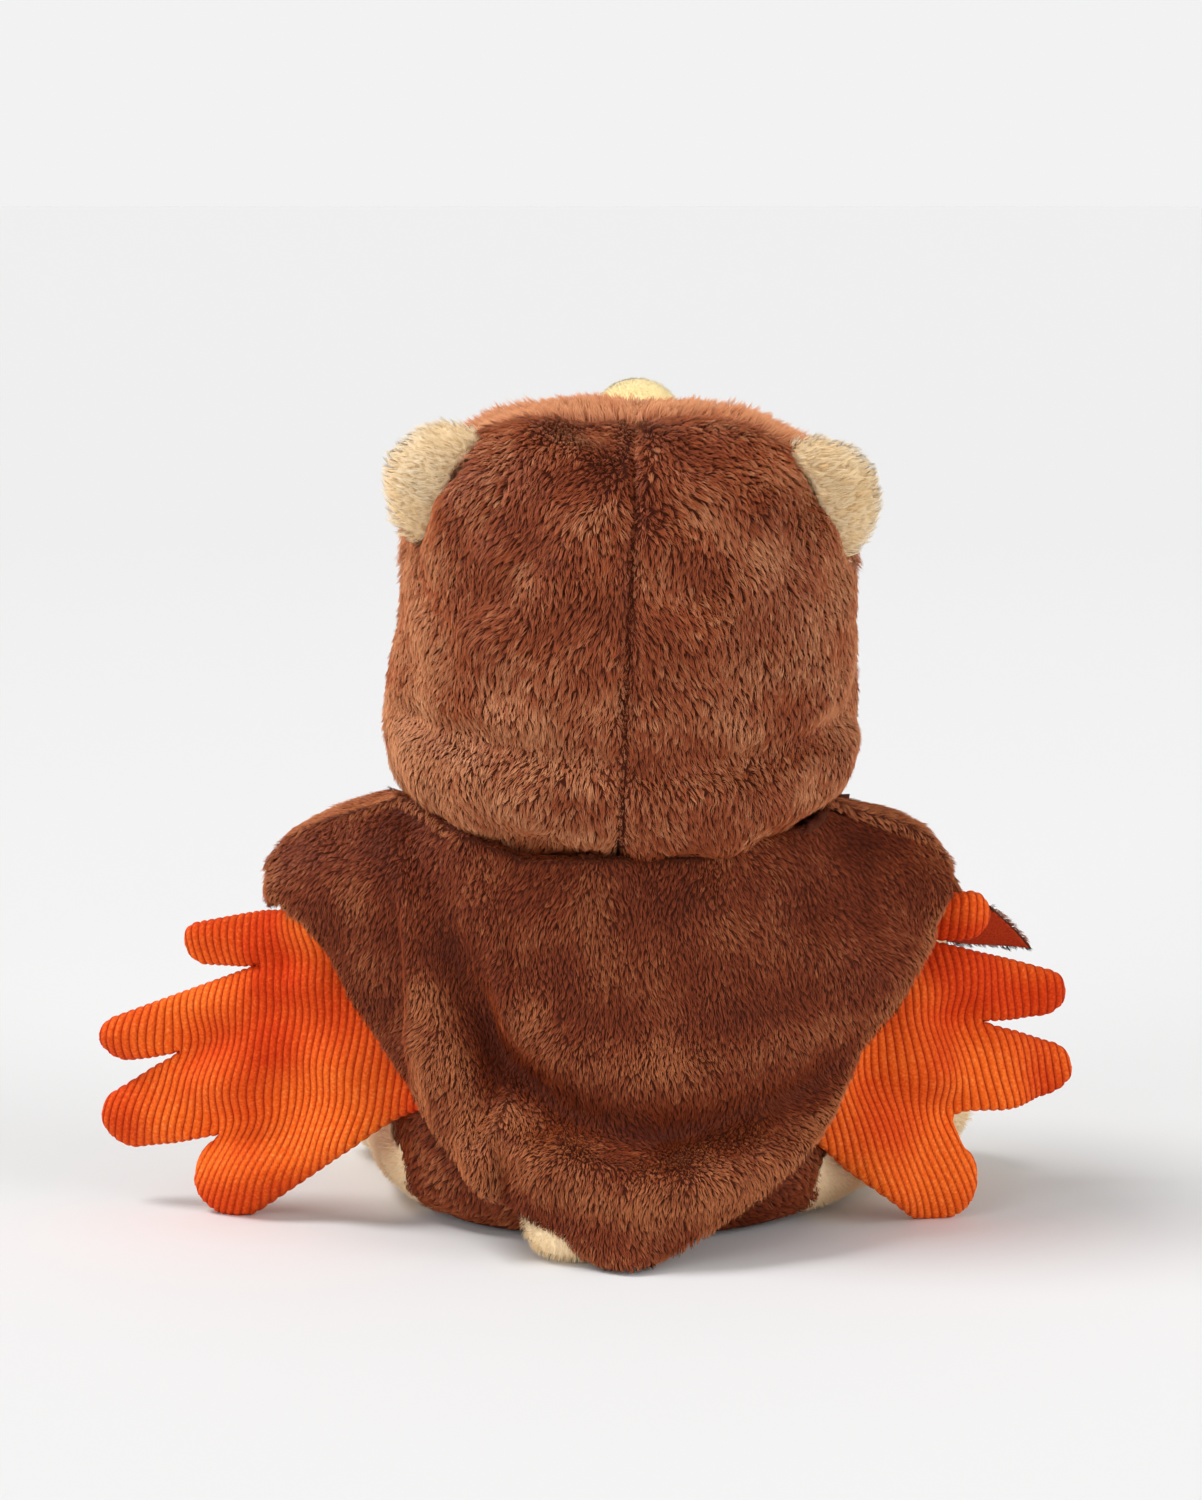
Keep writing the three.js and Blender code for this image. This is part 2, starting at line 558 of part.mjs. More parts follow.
// Beak and patches on the brow
const browClear = hoodForm(GAP);
const beakTurn = new THREE.Euler(-rad(BEAK_PITCH_DEG), 0, 0);
const beak = (grow) => ellipsoid(vec(0, BEAK_BACK, BEAK_HEIGHT), BEAK, grow, beakTurn);
addHeadMesh('beak', trimmed(beak(0), browClear), yellowPlush);
const patchShell = without(hoodForm(GAP + PATCH_THICKNESS), browClear, beak(GAP));
for (const [name, side] of Object.entries(sides)) {
  const disc = bar(PATCH_RADIUS, HOOD_TOP, 'z');
  disc.translate(side * PATCH_SIDE, PATCH_BACK, 1.4 * HOOD_TOP);
  addHeadMesh(`brow_patch_${name}`, patchShell.intersect(solid(disc)), whitePlush);
}

// Wings: flat padded shapes, each feather's sides running from a notch to its round tip
function wingForm({ shoulder, feathers }) {
  const point = ([out, height]) => new THREE.Vector2(out, height);
  const outline = [new THREE.Vector2(-WING_ROOT_DEPTH, WING_ROOT_TOP), point(shoulder)];
  for (const { tip, radius, notch } of feathers) {
    const root = outline.at(-1).clone().add(point(notch)).divideScalar(2);
    const pointing = point(tip).sub(root).angle();
    for (const turn of [90, 45, 0, -45, -90].map(rad)) {
      const edge = new THREE.Vector2(Math.cos(pointing + turn), Math.sin(pointing + turn));
      outline.push(point(tip).addScaledVector(edge, radius));
    }
    outline.push(point(notch));
  }
  outline.push(new THREE.Vector2(-WING_ROOT_DEPTH, WING_ROOT_BOTTOM));
  const bevel = WING_THICKNESS / 3;
  const geometry = new THREE.ExtrudeGeometry(new THREE.Shape(outline), {
    depth: WING_THICKNESS - 2 * bevel,
    bevelThickness: bevel,
    bevelSize: bevel,
    bevelOffset: -bevel,
    bevelSegments: 2,
  });
  geometry.translate(0, 0, bevel - WING_THICKNESS / 2);
  return solid(geometry);
}
const wingAngles = [-WING_FORWARD_DEG, 0, WING_BACK_DEG];
const overWaist = halfSpace(vec(0, 0, WAIST_HEIGHT + GAP), vec(0, 0, 1));
const shortsClear = without(torsoForm(2 * GAP + PLUSH), overWaist);
for (const [name, side] of Object.entries(sides)) {
  const pivot = vec(WING_ROOT.x * side, WING_ROOT.y, 0);
  const place = new THREE.Matrix4().makeTranslation(pivot.x, pivot.y, pivot.z);
  place.multiply(new THREE.Matrix4().makeRotationZ(-rad(WING_SWEEP_DEG) * side));
  place.multiply(new THREE.Matrix4().makeScale(side, 1, 1));
  place.multiply(new THREE.Matrix4().makeRotationX(Math.PI / 2));
  const standing = solid(geometryOf(wingForm(WING_SHAPES[name])).applyMatrix4(place));
  const cutters = [torsoClear, shortsClear].flatMap((form) => swept(form, pivot, vec(0, 0, side), wingAngles));
  addMesh(bodyGroup(pivot), `wing_${name}`, trimmed(standing, ...cutters, floor), orangeCord);
}

// Cape back: across u from the bear's right to its left, v from the neckline down to the tip
const CAPE_LINE = new THREE.CatmullRomCurve3([
  vec(0, CAPE_NECK_BACK, CAPE_TOP),
  vec(0, CAPE_NECK_BACK + 4, 90),
  vec(0, SHORTS_REAR + 4, 62),
  vec(0, SHORTS_REAR + 8, 40),
  vec(0, (SHORTS_REAR + CAPE_TIP_BACK) / 2 + 6, 20),
  vec(0, CAPE_TIP_BACK, CAPE_TIP_HEIGHT),
]);
function capeBack(u, v) {
  const middle = CAPE_LINE.getPointAt(v);
  const share = 2 * u - 1;
  const neckShare = CAPE_NECK_HALF_WIDTH / CAPE_HALF_WIDTH;
  const outside = Math.max(Math.abs(share) - neckShare, 0) / (1 - neckShare);
  const drop = (CAPE_TOP - CAPE_CORNER_HEIGHT) * (1 - v);
  const fall = (CAPE_CORNER_HEIGHT - middle.z + drop) / (CAPE_CORNER_HEIGHT - CAPE_TIP_HEIGHT);
  const rounding = Math.max(v - CAPE_TIP_START, 0) / (1.01 - CAPE_TIP_START);
  const straight = THREE.MathUtils.lerp(CAPE_HALF_WIDTH, CAPE_TIP_HALF_WIDTH, fall);
  const x = share * straight * Math.sqrt(1 - rounding ** 2);
  const wrap = (CAPE_NECK_BACK - CAPE_CORNER_BACK) * (1 - 0.75 * v) * share * share;
  const smile = v + 0.16 * share * share;
  const fold = Math.exp(-(((smile - 0.5) / 0.12) ** 2)) - 0.8 * Math.exp(-(((smile - 0.7) / 0.09) ** 2));
  return vec(x, middle.y - wrap + CAPE_SAG * fold * (1 - share ** 4), middle.z - drop * outside);
}
const capeGroup = bodyGroup(CAPE_HINGE);
const capeSheet = (...size) => sheet(capeBack, CLOTH_ACROSS, CLOTH_DOWN, ...size);
const capeClear = capeSheet(-GAP, PLUSH + 2 * GAP);
const capeLining = trimmed(capeSheet(PLUSH + 2 * GAP, LINING, LINING_INSET), capeClear);
addMesh(capeGroup, 'cape_back', capeSheet(0, PLUSH), brownPlush);
addMesh(capeGroup, 'cape_lining', capeLining, orangeLining);

// Cape shoulders: u from the neck outward, v from the seam on the back over the shoulder to the hem
function capeFront(u, v) {
  const across = THREE.MathUtils.lerp(CAPE_NECK_HALF_WIDTH, CAPE_HALF_WIDTH, u) / CAPE_HALF_WIDTH;
  const seam = capeBack((1 + across) / 2, 0).add(vec(0, -PLUSH / 2, GAP));
  const rows = [
    [vec(36, 6, CAPE_TOP - 7), vec(CAPE_HALF_WIDTH + 3, 2, CAPE_CORNER_HEIGHT + 6)],
    [vec(18, -32, CAPE_TOP - 8), vec(CAPE_HALF_WIDTH + 11, CAPE_HEM_FRONT + 6, CAPE_CORNER_HEIGHT - 5)],
    [vec(4, CAPE_HEM_FRONT + 3, CAPE_HEM_HEIGHT + 14), vec(CAPE_HEM_SIDE, CAPE_HEM_FRONT, CAPE_HEM_HEIGHT)],
  ];
  const line = new THREE.CatmullRomCurve3([seam, ...rows.map(([a, b]) => a.clone().lerp(b, u))]);
  const point = line.getPoint(v);
  point.z += SHOULDER_RISE * Math.sin(Math.PI * u) ** 1.5 * Math.exp(-(((v - 0.33) / 0.22) ** 2));
  return point;
}
const capeSeamClear = solid(geometryOf(capeClear).translate(0, 0, GAP));
for (const [name, side] of Object.entries(sides)) {
  const surface = (u, v) => mirrored(capeFront(side > 0 ? 1 - u : u, v), side);
  const panel = sheet(surface, PANEL_ACROSS, PANEL_DOWN, 0, PLUSH);
  const shoulder = mirrored(SHOULDER, side);
  const arms = armSwings.map((angle) => turned(armForms[name](GAP), shoulder, vec(0, side, 0), angle));
  const cutters = [torsoClear, ...arms, capeClear, capeSeamClear];
  addMesh(torsoGroup, `cape_${name}_front`, trimmed(panel, ...cutters), brownPlush);
}
// The tab bridges the two panels just above the hem and lies on both.
const tabSurface = (u, v) => {
  const x = (0.5 - u) * TAB.x;
  const down = 1 - (TAB_RISE + (1 - v) * TAB.z) / CAPE_FRONT_LENGTH;
  const [inner, outer] = [capeFront(0, down), capeFront(1, down)];
  const share = Math.max((Math.abs(x) - inner.x) / (outer.x - inner.x), 0);
  return capeFront(share, down).setX(x);
};
addMesh(torsoGroup, 'neck_tab', sheet(tabSurface, TAB_ACROSS, 2, -TAB.y - 2 * GAP, TAB.y), tapeCloth);

export default bear;
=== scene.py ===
# A seated plush teddy bear in a hooded bird costume, seen from behind: brown pile cloth, cream plush and
# orange corduroy. Lengths are in millimetres until a mesh is made. The bear faces -Y, and its left is +X.
import math
import bpy
import numpy as np
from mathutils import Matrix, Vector, geometry, kdtree


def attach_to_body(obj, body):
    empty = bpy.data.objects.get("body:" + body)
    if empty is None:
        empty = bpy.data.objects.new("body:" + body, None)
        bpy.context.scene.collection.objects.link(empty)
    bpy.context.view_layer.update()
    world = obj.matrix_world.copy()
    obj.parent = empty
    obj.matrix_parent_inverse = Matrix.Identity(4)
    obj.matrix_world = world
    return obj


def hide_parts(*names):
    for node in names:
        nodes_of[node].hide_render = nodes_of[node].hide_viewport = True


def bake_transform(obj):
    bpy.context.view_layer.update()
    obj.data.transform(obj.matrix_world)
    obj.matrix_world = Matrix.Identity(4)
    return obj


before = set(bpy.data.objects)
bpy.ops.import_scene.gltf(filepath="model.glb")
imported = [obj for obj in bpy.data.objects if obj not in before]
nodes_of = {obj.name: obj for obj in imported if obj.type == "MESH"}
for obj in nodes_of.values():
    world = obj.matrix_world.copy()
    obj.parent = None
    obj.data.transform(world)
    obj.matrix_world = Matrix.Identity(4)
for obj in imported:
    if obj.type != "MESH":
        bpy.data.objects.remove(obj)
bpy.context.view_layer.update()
MM = 0.001

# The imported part's sizes and places that several pieces follow
NECK = 109
HEAD_LEAN = 2.2  # degrees, to the bear's right
HOOD_HALF_WIDTH, HOOD_HALF_DEPTH, HOOD_TOP = 66.5, 59.9, 232.5
HOOD_HEIGHT = HOOD_TOP - NECK
BROW_HEIGHT = 180
FACE_HEIGHT = 168
EAR_OUT, EAR_HEIGHT, EAR_ROOT = 50.5, 209, 196
TORSO_HALF_WIDTH, TORSO_BOTTOM, TORSO_TOP = 58.5, 2.9, 111.8
WAIST = 48
LEG_HOLE = 20.8  # its radius, and the height of its middle
CAPE_CORNER, COLLAR_END = 97, 40  # how far out the cape's corner lies, and where its collar ends
CORNER_HEIGHT, CAPE_TIP, SHOULDER_DROP = 97, 2.5, 15
ARM_ROOM = 18.8  # from the arm's middle to the cloth over it
PLUSH, SHORTS_PLUSH, LINING_CLOTH = 2.3, 2.2, 0.7  # thicknesses of cloth


# Colour and materials

def linear(code):
    """An sRGB hex colour as the linear values that shaders use."""
    parts = [int(code[i:i + 2], 16) / 255 for i in (1, 3, 5)]
    return [c / 12.92 if c <= 0.04045 else ((c + 0.055) / 1.055) ** 2.4 for c in parts] + [1.0]


# The sockets of a colour mix go by number, because those for plain numbers have the same names
FACTOR, FIRST, SECOND, MIXED = 0, 6, 7, 2
NAP_RELIEF = 0.3 * MM


def add(tree, kind, links=None, stops=None, **settings):
    """Adds a node, sets its properties and input values, and links its inputs to other nodes' outputs. stops
    are the places and hex colours of a ramp."""
    made = tree.nodes.new(kind)
    for key, value in settings.items():
        if key in made.bl_rna.properties:
            setattr(made, key, value)
        else:
            made.inputs[key.replace("_", " ")].default_value = value
    if stops:
        line = made.color_ramp.elements
        while len(line) < len(stops):
            line.new(0.5)
        for stop, (place, code) in zip(line, stops):
            stop.position = place
            stop.color = linear(code)
    for key, source in (links or {}).items():
        tree.links.new(source, made.inputs[key])
    return made


def material(name, **settings):
    """A new material whose Principled shader has the settings; returns it, its tree and the shader."""
    made = bpy.data.materials.new(name)
    made.use_nodes = True
    shader = made.node_tree.nodes["Principled BSDF"]
    for key, value in settings.items():
        shader.inputs[key.replace("_", " ")].default_value = value
    return made, made.node_tree, shader


def pile_material(name, roots, tips, sheen, glint):
    """Plush, knitted with its pile. Each lock carries its own shade across the map and runs from root to tip
    up it, so the eye sees dark gaps between light-tipped locks, and a bloom where they turn away."""
    made, tree, shader = material(name, Roughness=0.5, Specular_IOR_Level=0.2, Sheen_Weight=sheen,
                                  Sheen_Roughness=0.4, Sheen_Tint=linear(glint))
    place = add(tree, "ShaderNodeUVMap", uv_map="OFBake").outputs["UV"]
    parts = add(tree, "ShaderNodeSeparateXYZ", {"Vector": place}).outputs
    low, high = (add(tree, "ShaderNodeValToRGB", {"Fac": parts["X"]}, stops).outputs["Color"]
                 for stops in (roots, tips))
    lock = add(tree, "ShaderNodeMix", {FACTOR: parts["Y"], FIRST: low, SECOND: high}, data_type="RGBA")
    tree.links.new(lock.outputs[MIXED], shader.inputs["Base Color"])
    return made


def cloth_material(name, dark, light, grain, roughness, bump, sheen=0.2):
    """Plain cloth: a grain of two tones with a little relief. grain is its size in mm, drawn coarser than the
    real threads so that it shows."""
    made, tree, shader = material(name, Roughness=roughness, Specular_IOR_Level=0.2, Sheen_Weight=sheen)
    where = add(tree, "ShaderNodeTexCoord").outputs["Object"]
    noise = add(tree, "ShaderNodeTexNoise", {"Vector": where}, Scale=1 / (grain * MM), Detail=3.0)
    noise = noise.outputs["Fac"]
    tones = add(tree, "ShaderNodeValToRGB", {"Fac": noise}, [(0.3, dark), (0.7, light)])
    tree.links.new(tones.outputs["Color"], shader.inputs["Base Color"])
    relief = add(tree, "ShaderNodeBump", {"Height": noise}, Strength=bump, Distance=NAP_RELIEF)
    tree.links.new(relief.outputs["Normal"], shader.inputs["Normal"])
    return made


def moulded_plastic(name, code, roughness):
    """Moulded plastic: one even colour, with a highlight as sharp as its mould was polished."""
    return material(name, Base_Color=linear(code), Roughness=roughness)[0]


# Long brown plush, cut and brushed: dark roots painted as shade between the locks, rust on their tips, with a
# warm bloom
BROWN_PILE = pile_material(
    "brown_long_pile",
    roots=[(0.0, "#310c04"), (0.5, "#5c220e"), (1.0, "#a85a32")],
    tips=[(0.0, "#883616"), (0.5, "#be5e32"), (1.0, "#efa877")],
    sheen=0.22, glint="#e09a68",
)
# Brown plush sheared short: deeper and more even, with roots dark as painted shade, and painted light over its
# edges
VELVET_PILE = pile_material(
    "brown_short_pile",
    roots=[(0.0, "#220600"), (0.6, "#421304"), (1.0, "#6e2c10")],
    tips=[(0.0, "#762a0c"), (0.5, "#a84b22"), (1.0, "#e08a56")],
    sheen=0.12, glint="#c87a48",
)
# Short cream plush: a pale nap that lets light in, so its gaps are hardly darker than its tips
CREAM_PILE = pile_material(
    "cream_short_pile",
    roots=[(0.0, "#eab974"), (1.0, "#ffdba4")],
    tips=[(0.0, "#ffd498"), (0.5, "#ffe6be"), (1.0, "#fff6e2")],
    sheen=0.5, glint="#fff0dc",
)
# Yellow and white plush sheared close: as even as felt
YELLOW_PILE = pile_material(
    "yellow_short_pile",
    roots=[(0.0, "#fbd27c"), (1.0, "#ffe29a")],
    tips=[(0.0, "#ffe7a8"), (1.0, "#fff6da")],
    sheen=0.15, glint="#fff0c0",
)
WHITE_PILE = pile_material(
    "white_short_pile",
    roots=[(0.0, "#e4dfda"), (1.0, "#f2efec")],
    tips=[(0.0, "#f6f3f0"), (1.0, "#ffffff")],
    sheen=0.15, glint="#ffffff",
)
# The knitted backing of brown plush: matt, and dark as painted shade, seen only between locks
BROWN_CLOTH = cloth_material("brown_pile_backing", "#41180b", "#5c2913", grain=1.2, roughness=0.95, bump=0.4,
                             sheen=0.0)
# The knitted backing of pale plush: matt, in the colour of its pile
CREAM_CLOTH = cloth_material("cream_plush", "#fad8a4", "#ffeac6", grain=0.9, roughness=0.95, bump=0.5)
YELLOW_CLOTH = cloth_material("yellow_plush", "#fcdc8e", "#ffeab2", grain=0.9, roughness=0.95, bump=0.5)
WHITE_CLOTH = cloth_material("white_plush", "#e8e3de", "#f8f6f3", grain=0.9, roughness=0.95, bump=0.5)
# Woven polyester lining: close and smooth, with hardly any bloom
LINING = cloth_material("orange_lining", "#a52c0a", "#c8400f", grain=0.5, roughness=0.8, bump=0.3,
                        sheen=0.05)
# Carded polyester fibre: white, loose and matt
STUFFING = cloth_material("polyester_stuffing", "#e6e3dc", "#f6f4ef", grain=2.0, roughness=1.0, bump=0.5)
# Unbleached cotton in plain weave: straw-coloured, with a fine grain
CALICO = cloth_material("calico", "#cdbf9f", "#e0d5bd", grain=0.6, roughness=0.9, bump=0.3)
# Cotton tape, woven narrow: brown and close
TAPE = cloth_material("woven_tape", "#5c301b", "#7a4529", grain=0.5, roughness=0.8, bump=0.4)
# Polished ABS: nearly black, with a sharp highlight
EYE = moulded_plastic("dark_eye_plastic", "#241711", roughness=0.15)
# Plain polythene: white, with a dull shine
WASHER = moulded_plastic("white_washer_plastic", "#e8e8e4", roughness=0.5)


def corduroy():
    """Cotton corduroy, woven with ridges of cut pile: painted lighter on the ridges where they catch light,
    with painted shade dark in the grooves between them, and paler in places brushed the other way. The nap is
    drawn coarser than its fibres."""
    made, tree, shader = material("orange_corduroy", Roughness=0.85, Specular_IOR_Level=0.15)
    rib = add(tree, "ShaderNodeAttribute", attribute_name="rib").outputs["Fac"]
    where = add(tree, "ShaderNodeTexCoord").outputs["Object"]
    nap, brushed = (
        add(tree, "ShaderNodeTexNoise", {"Vector": where}, Scale=1 / (size * MM), Detail=fine).outputs["Fac"]
        for size, fine in ((0.8, 3.0), (38, 1.0)))
    deep, pale, groove, patches = (
        add(tree, "ShaderNodeValToRGB", {"Fac": source}, stops).outputs["Color"]
        for source, stops in (
            (nap, [(0.3, "#c63003"), (0.55, "#d84009"), (0.8, "#e85e1a")]),
            (nap, [(0.3, "#ee5a10"), (0.55, "#fb7422"), (0.8, "#ff9850")]),
            # painted shade in the grooves
            (nap, [(0.3, "#931c03"), (0.8, "#b22c08")]),
            (brushed, [(0.38, "#000000"), (0.62, "#ffffff")]),
        ))
    face = add(tree, "ShaderNodeMix", {FACTOR: patches, FIRST: deep, SECOND: pale}, data_type="RGBA")
    ridged = add(tree, "ShaderNodeMix", {FACTOR: rib, FIRST: groove, SECOND: face.outputs[MIXED]},
                 data_type="RGBA")
    tree.links.new(ridged.outputs[MIXED], shader.inputs["Base Color"])
    relief = add(tree, "ShaderNodeBump", {"Height": nap}, Strength=0.5, Distance=NAP_RELIEF)
    tree.links.new(relief.outputs["Normal"], shader.inputs["Normal"])
    return made


CORDUROY = corduroy()


# Meshes

def mesh_object(name, points, faces, made_of, body=None, uv=None, rib=None, lit=None, under=None):
    """An object from arrays: points in mm, faces all with the same number of corners. lit gives the points'
    shading normals, and under is (first face, end face, material) for a shell's inner side."""
    faces = np.asarray(faces, dtype=np.int32)
    count, corners = faces.shape
    mesh = bpy.data.meshes.new(name)
    mesh.vertices.add(len(points))
    resting = np.maximum(points, [-np.inf, -np.inf, 0])  # nothing sinks into the floor
    mesh.vertices.foreach_set("co", (np.asarray(resting, dtype=np.float32) * MM).ravel())
    mesh.loops.add(count * corners)
    mesh.loops.foreach_set("vertex_index", faces.ravel())
    mesh.polygons.add(count)
    mesh.polygons.foreach_set("loop_start", np.arange(0, count * corners, corners, dtype=np.int32))
    if uv is not None:
        layer = mesh.uv_layers.new(name="OFBake")
        layer.data.foreach_set("uv", np.asarray(uv, dtype=np.float32)[faces.ravel()].ravel())
    if rib is not None:
        ridges = mesh.attributes.new("rib", "FLOAT", "POINT")
        ridges.data.foreach_set("value", np.asarray(rib, dtype=np.float32))
    mesh.update(calc_edges=True)
    mesh.validate()
    mesh.shade_smooth()
    mesh.materials.append(made_of)
    if lit is not None:
        mesh.normals_split_custom_set_from_vertices(np.asarray(lit, dtype=np.float32))
    if under is not None:
        mesh.materials.append(under[2])
        which = np.zeros(count, dtype=np.int32)
        which[under[0]:under[1]] = 1
        mesh.polygons.foreach_set("material_index", which)
    made = bpy.data.objects.new(name, mesh)
    bpy.context.scene.collection.objects.link(made)
    bpy.context.view_layer.update()
    if body:
        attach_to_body(made, body)
    return made


def grid_faces(rows, columns, closed=False):
    """Quads over a rows by columns grid of points, joined round if closed."""
    j, i = np.mgrid[0:rows - 1, 0:columns if closed else columns - 1]
    nxt = (i + 1) % columns
    row, above = j * columns, (j + 1) * columns
    return np.stack([row + i, row + nxt, above + nxt, above + i], -1).reshape(-1, 4)


def triangles(faces):
    """Faces as triangles, quads being cut in two."""
    faces = np.asarray(faces)
    return faces if faces.shape[1] == 3 else np.concatenate([faces[:, [0, 1, 2]], faces[:, [0, 2, 3]]])


def unit(v):
    """Vectors at length one."""
    return v / np.maximum(np.linalg.norm(v, axis=-1, keepdims=True), 1e-9)


def normals(points, faces):
    """The points' normals, weighted by the areas of the faces round them."""
    tri = triangles(faces)
    a, b, c = (points[tri[:, k]] for k in range(3))
    face = np.cross(b - a, c - a)
    total = np.zeros_like(points)
    for k in range(3):
        np.add.at(total, tri[:, k], face)
    return unit(total)


def keep_faces(points, faces, wanted):
    """The part of a mesh whose faces are wanted."""
    faces = faces[wanted]
    used, renumbered = np.unique(faces, return_inverse=True)
    return points[used], renumbered.reshape(faces.shape)


def thick(points, faces, depth):
    """A closed shell: the surface, a second one depth below it, and walls along the open edges."""
    under = points - normals(points, faces) * depth
    n = len(points)
    back = faces[:, ::-1] + n
    edges = {}
    for k in range(faces.shape[1]):
        a, b = faces[:, k], faces[:, (k + 1) % faces.shape[1]]
        for p, q in zip(a.tolist(), b.tolist()):
            if (q, p) in edges:
                del edges[(q, p)]
            else:
                edges[(p, q)] = True
    rim = np.array([(q, p, p + n, q + n) for p, q in edges])
    if faces.shape[1] == 3:
        rim = triangles(rim)
    return np.concatenate([points, under]), np.concatenate([faces, back, rim])


def outer_and_rim(points, faces, count, sewn=None):
    """A shell without its inner side, nor its rim where sewn holds."""
    rim = faces[2 * count:]
    if sewn:
        rim = rim[~sewn(points[rim].mean(1))]
    return points, np.concatenate([faces[:count], rim])


def vectors(x, y, z):
    """Vectors from their parts, any of which may be one number for all."""
    return np.stack(np.broadcast_arrays(x, y, z), 1)


def wobble(points, size, seed, waves=14):
    """Smooth seeded unevenness between about -1 and 1, its bumps about size mm across."""
    pick = np.random.default_rng(seed)
    ways = unit(pick.normal(size=(waves, 3))) * (2 * np.pi / size) * pick.uniform(0.6, 1.4, (waves, 1))
    return np.sin(points @ ways.T + pick.uniform(0, 2 * np.pi, waves)).sum(1) / math.sqrt(waves)


def hump(distance, width):
    """1 where distance is 0, falling smoothly to nothing some two widths away."""
    return np.exp(-(distance / width) ** 2)


def ramped(value, start, length):
    """From 0 where value is start to 1 a length further on."""
    return np.clip((value - start) / length, 0, 1)


def tree_of(places):
    """A tree that finds the nearest of some places."""
    tree = kdtree.KDTree(len(places))
    for i, place in enumerate(places):
        tree.insert(place, i)
    tree.balance()
    return tree


# Pile

def scatter(points, faces, per_mm2, seed):
    """Roots spread evenly over a surface, with the surface's normals."""
    pick = np.random.default_rng(seed)
    tri = triangles(faces)
    a, b, c = (points[tri[:, k]] for k in range(3))
    area = np.linalg.norm(np.cross(b - a, c - a), axis=1) / 2
    steps = np.cumsum(area)
    number = int(steps[-1] * per_mm2)
    which = np.searchsorted(steps, (np.arange(number) + pick.uniform(0, 1, number)) / number * steps[-1])
    which = np.minimum(which, len(tri) - 1)
    u, v = pick.uniform(0, 1, (2, number))
    turn = u + v > 1
    u[turn], v[turn] = 1 - u[turn], 1 - v[turn]
    at = a[which] + u[:, None] * (b - a)[which] + v[:, None] * (c - a)[which]
    lean = normals(points, faces)[tri[which]]
    w = 1 - u - v
    return at, unit(w[:, None] * lean[:, 0] + u[:, None] * lean[:, 1] + v[:, None] * lean[:, 2])


LOCK_FACES = np.array([[4, 1, 0], [3, 4, 0], [5, 2, 1], [4, 5, 1], [3, 0, 2], [5, 3, 2],
                       [6, 4, 3], [6, 5, 4], [6, 3, 5]])
MOST_FACES = 180000  # in one piece


def lock_shapes(root, middle, tip, up, girth, shade, rounded, glow):
    """Each lock as a three-sided spike of seven points, with their places on the map and shading normals."""
    along = unit(tip - root)
    across = unit(np.cross(along, up))
    over = np.cross(across, along)
    facing = unit(0.8 * up + 0.35 * over + np.array([0, 0, glow]))
    n = len(root)
    verts = np.empty((n, 7, 3))
    uv = np.empty((n, 7, 2))
    lit = np.empty((n, 7, 3))
    lit[:] = facing[:, None]
    for k, angle in enumerate(np.radians([90, 210, 330])):
        ring = math.cos(angle) * across + math.sin(angle) * over * 0.7
        verts[:, k] = root + ring * girth
        verts[:, 3 + k] = middle + ring * girth * 0.8
        lit[:, k] = lit[:, 3 + k] = unit(facing + rounded * ring)
        for row, height in ((k, 0.0), (3 + k, 0.5)):
            uv[:, row, 0] = shade + (0.015, -0.015, 0.0)[k]
            uv[:, row, 1] = height + 0.01
    verts[:, 6] = tip
    uv[:, 6, 0] = shade
    uv[:, 6, 1] = 0.99
    return verts, uv, lit


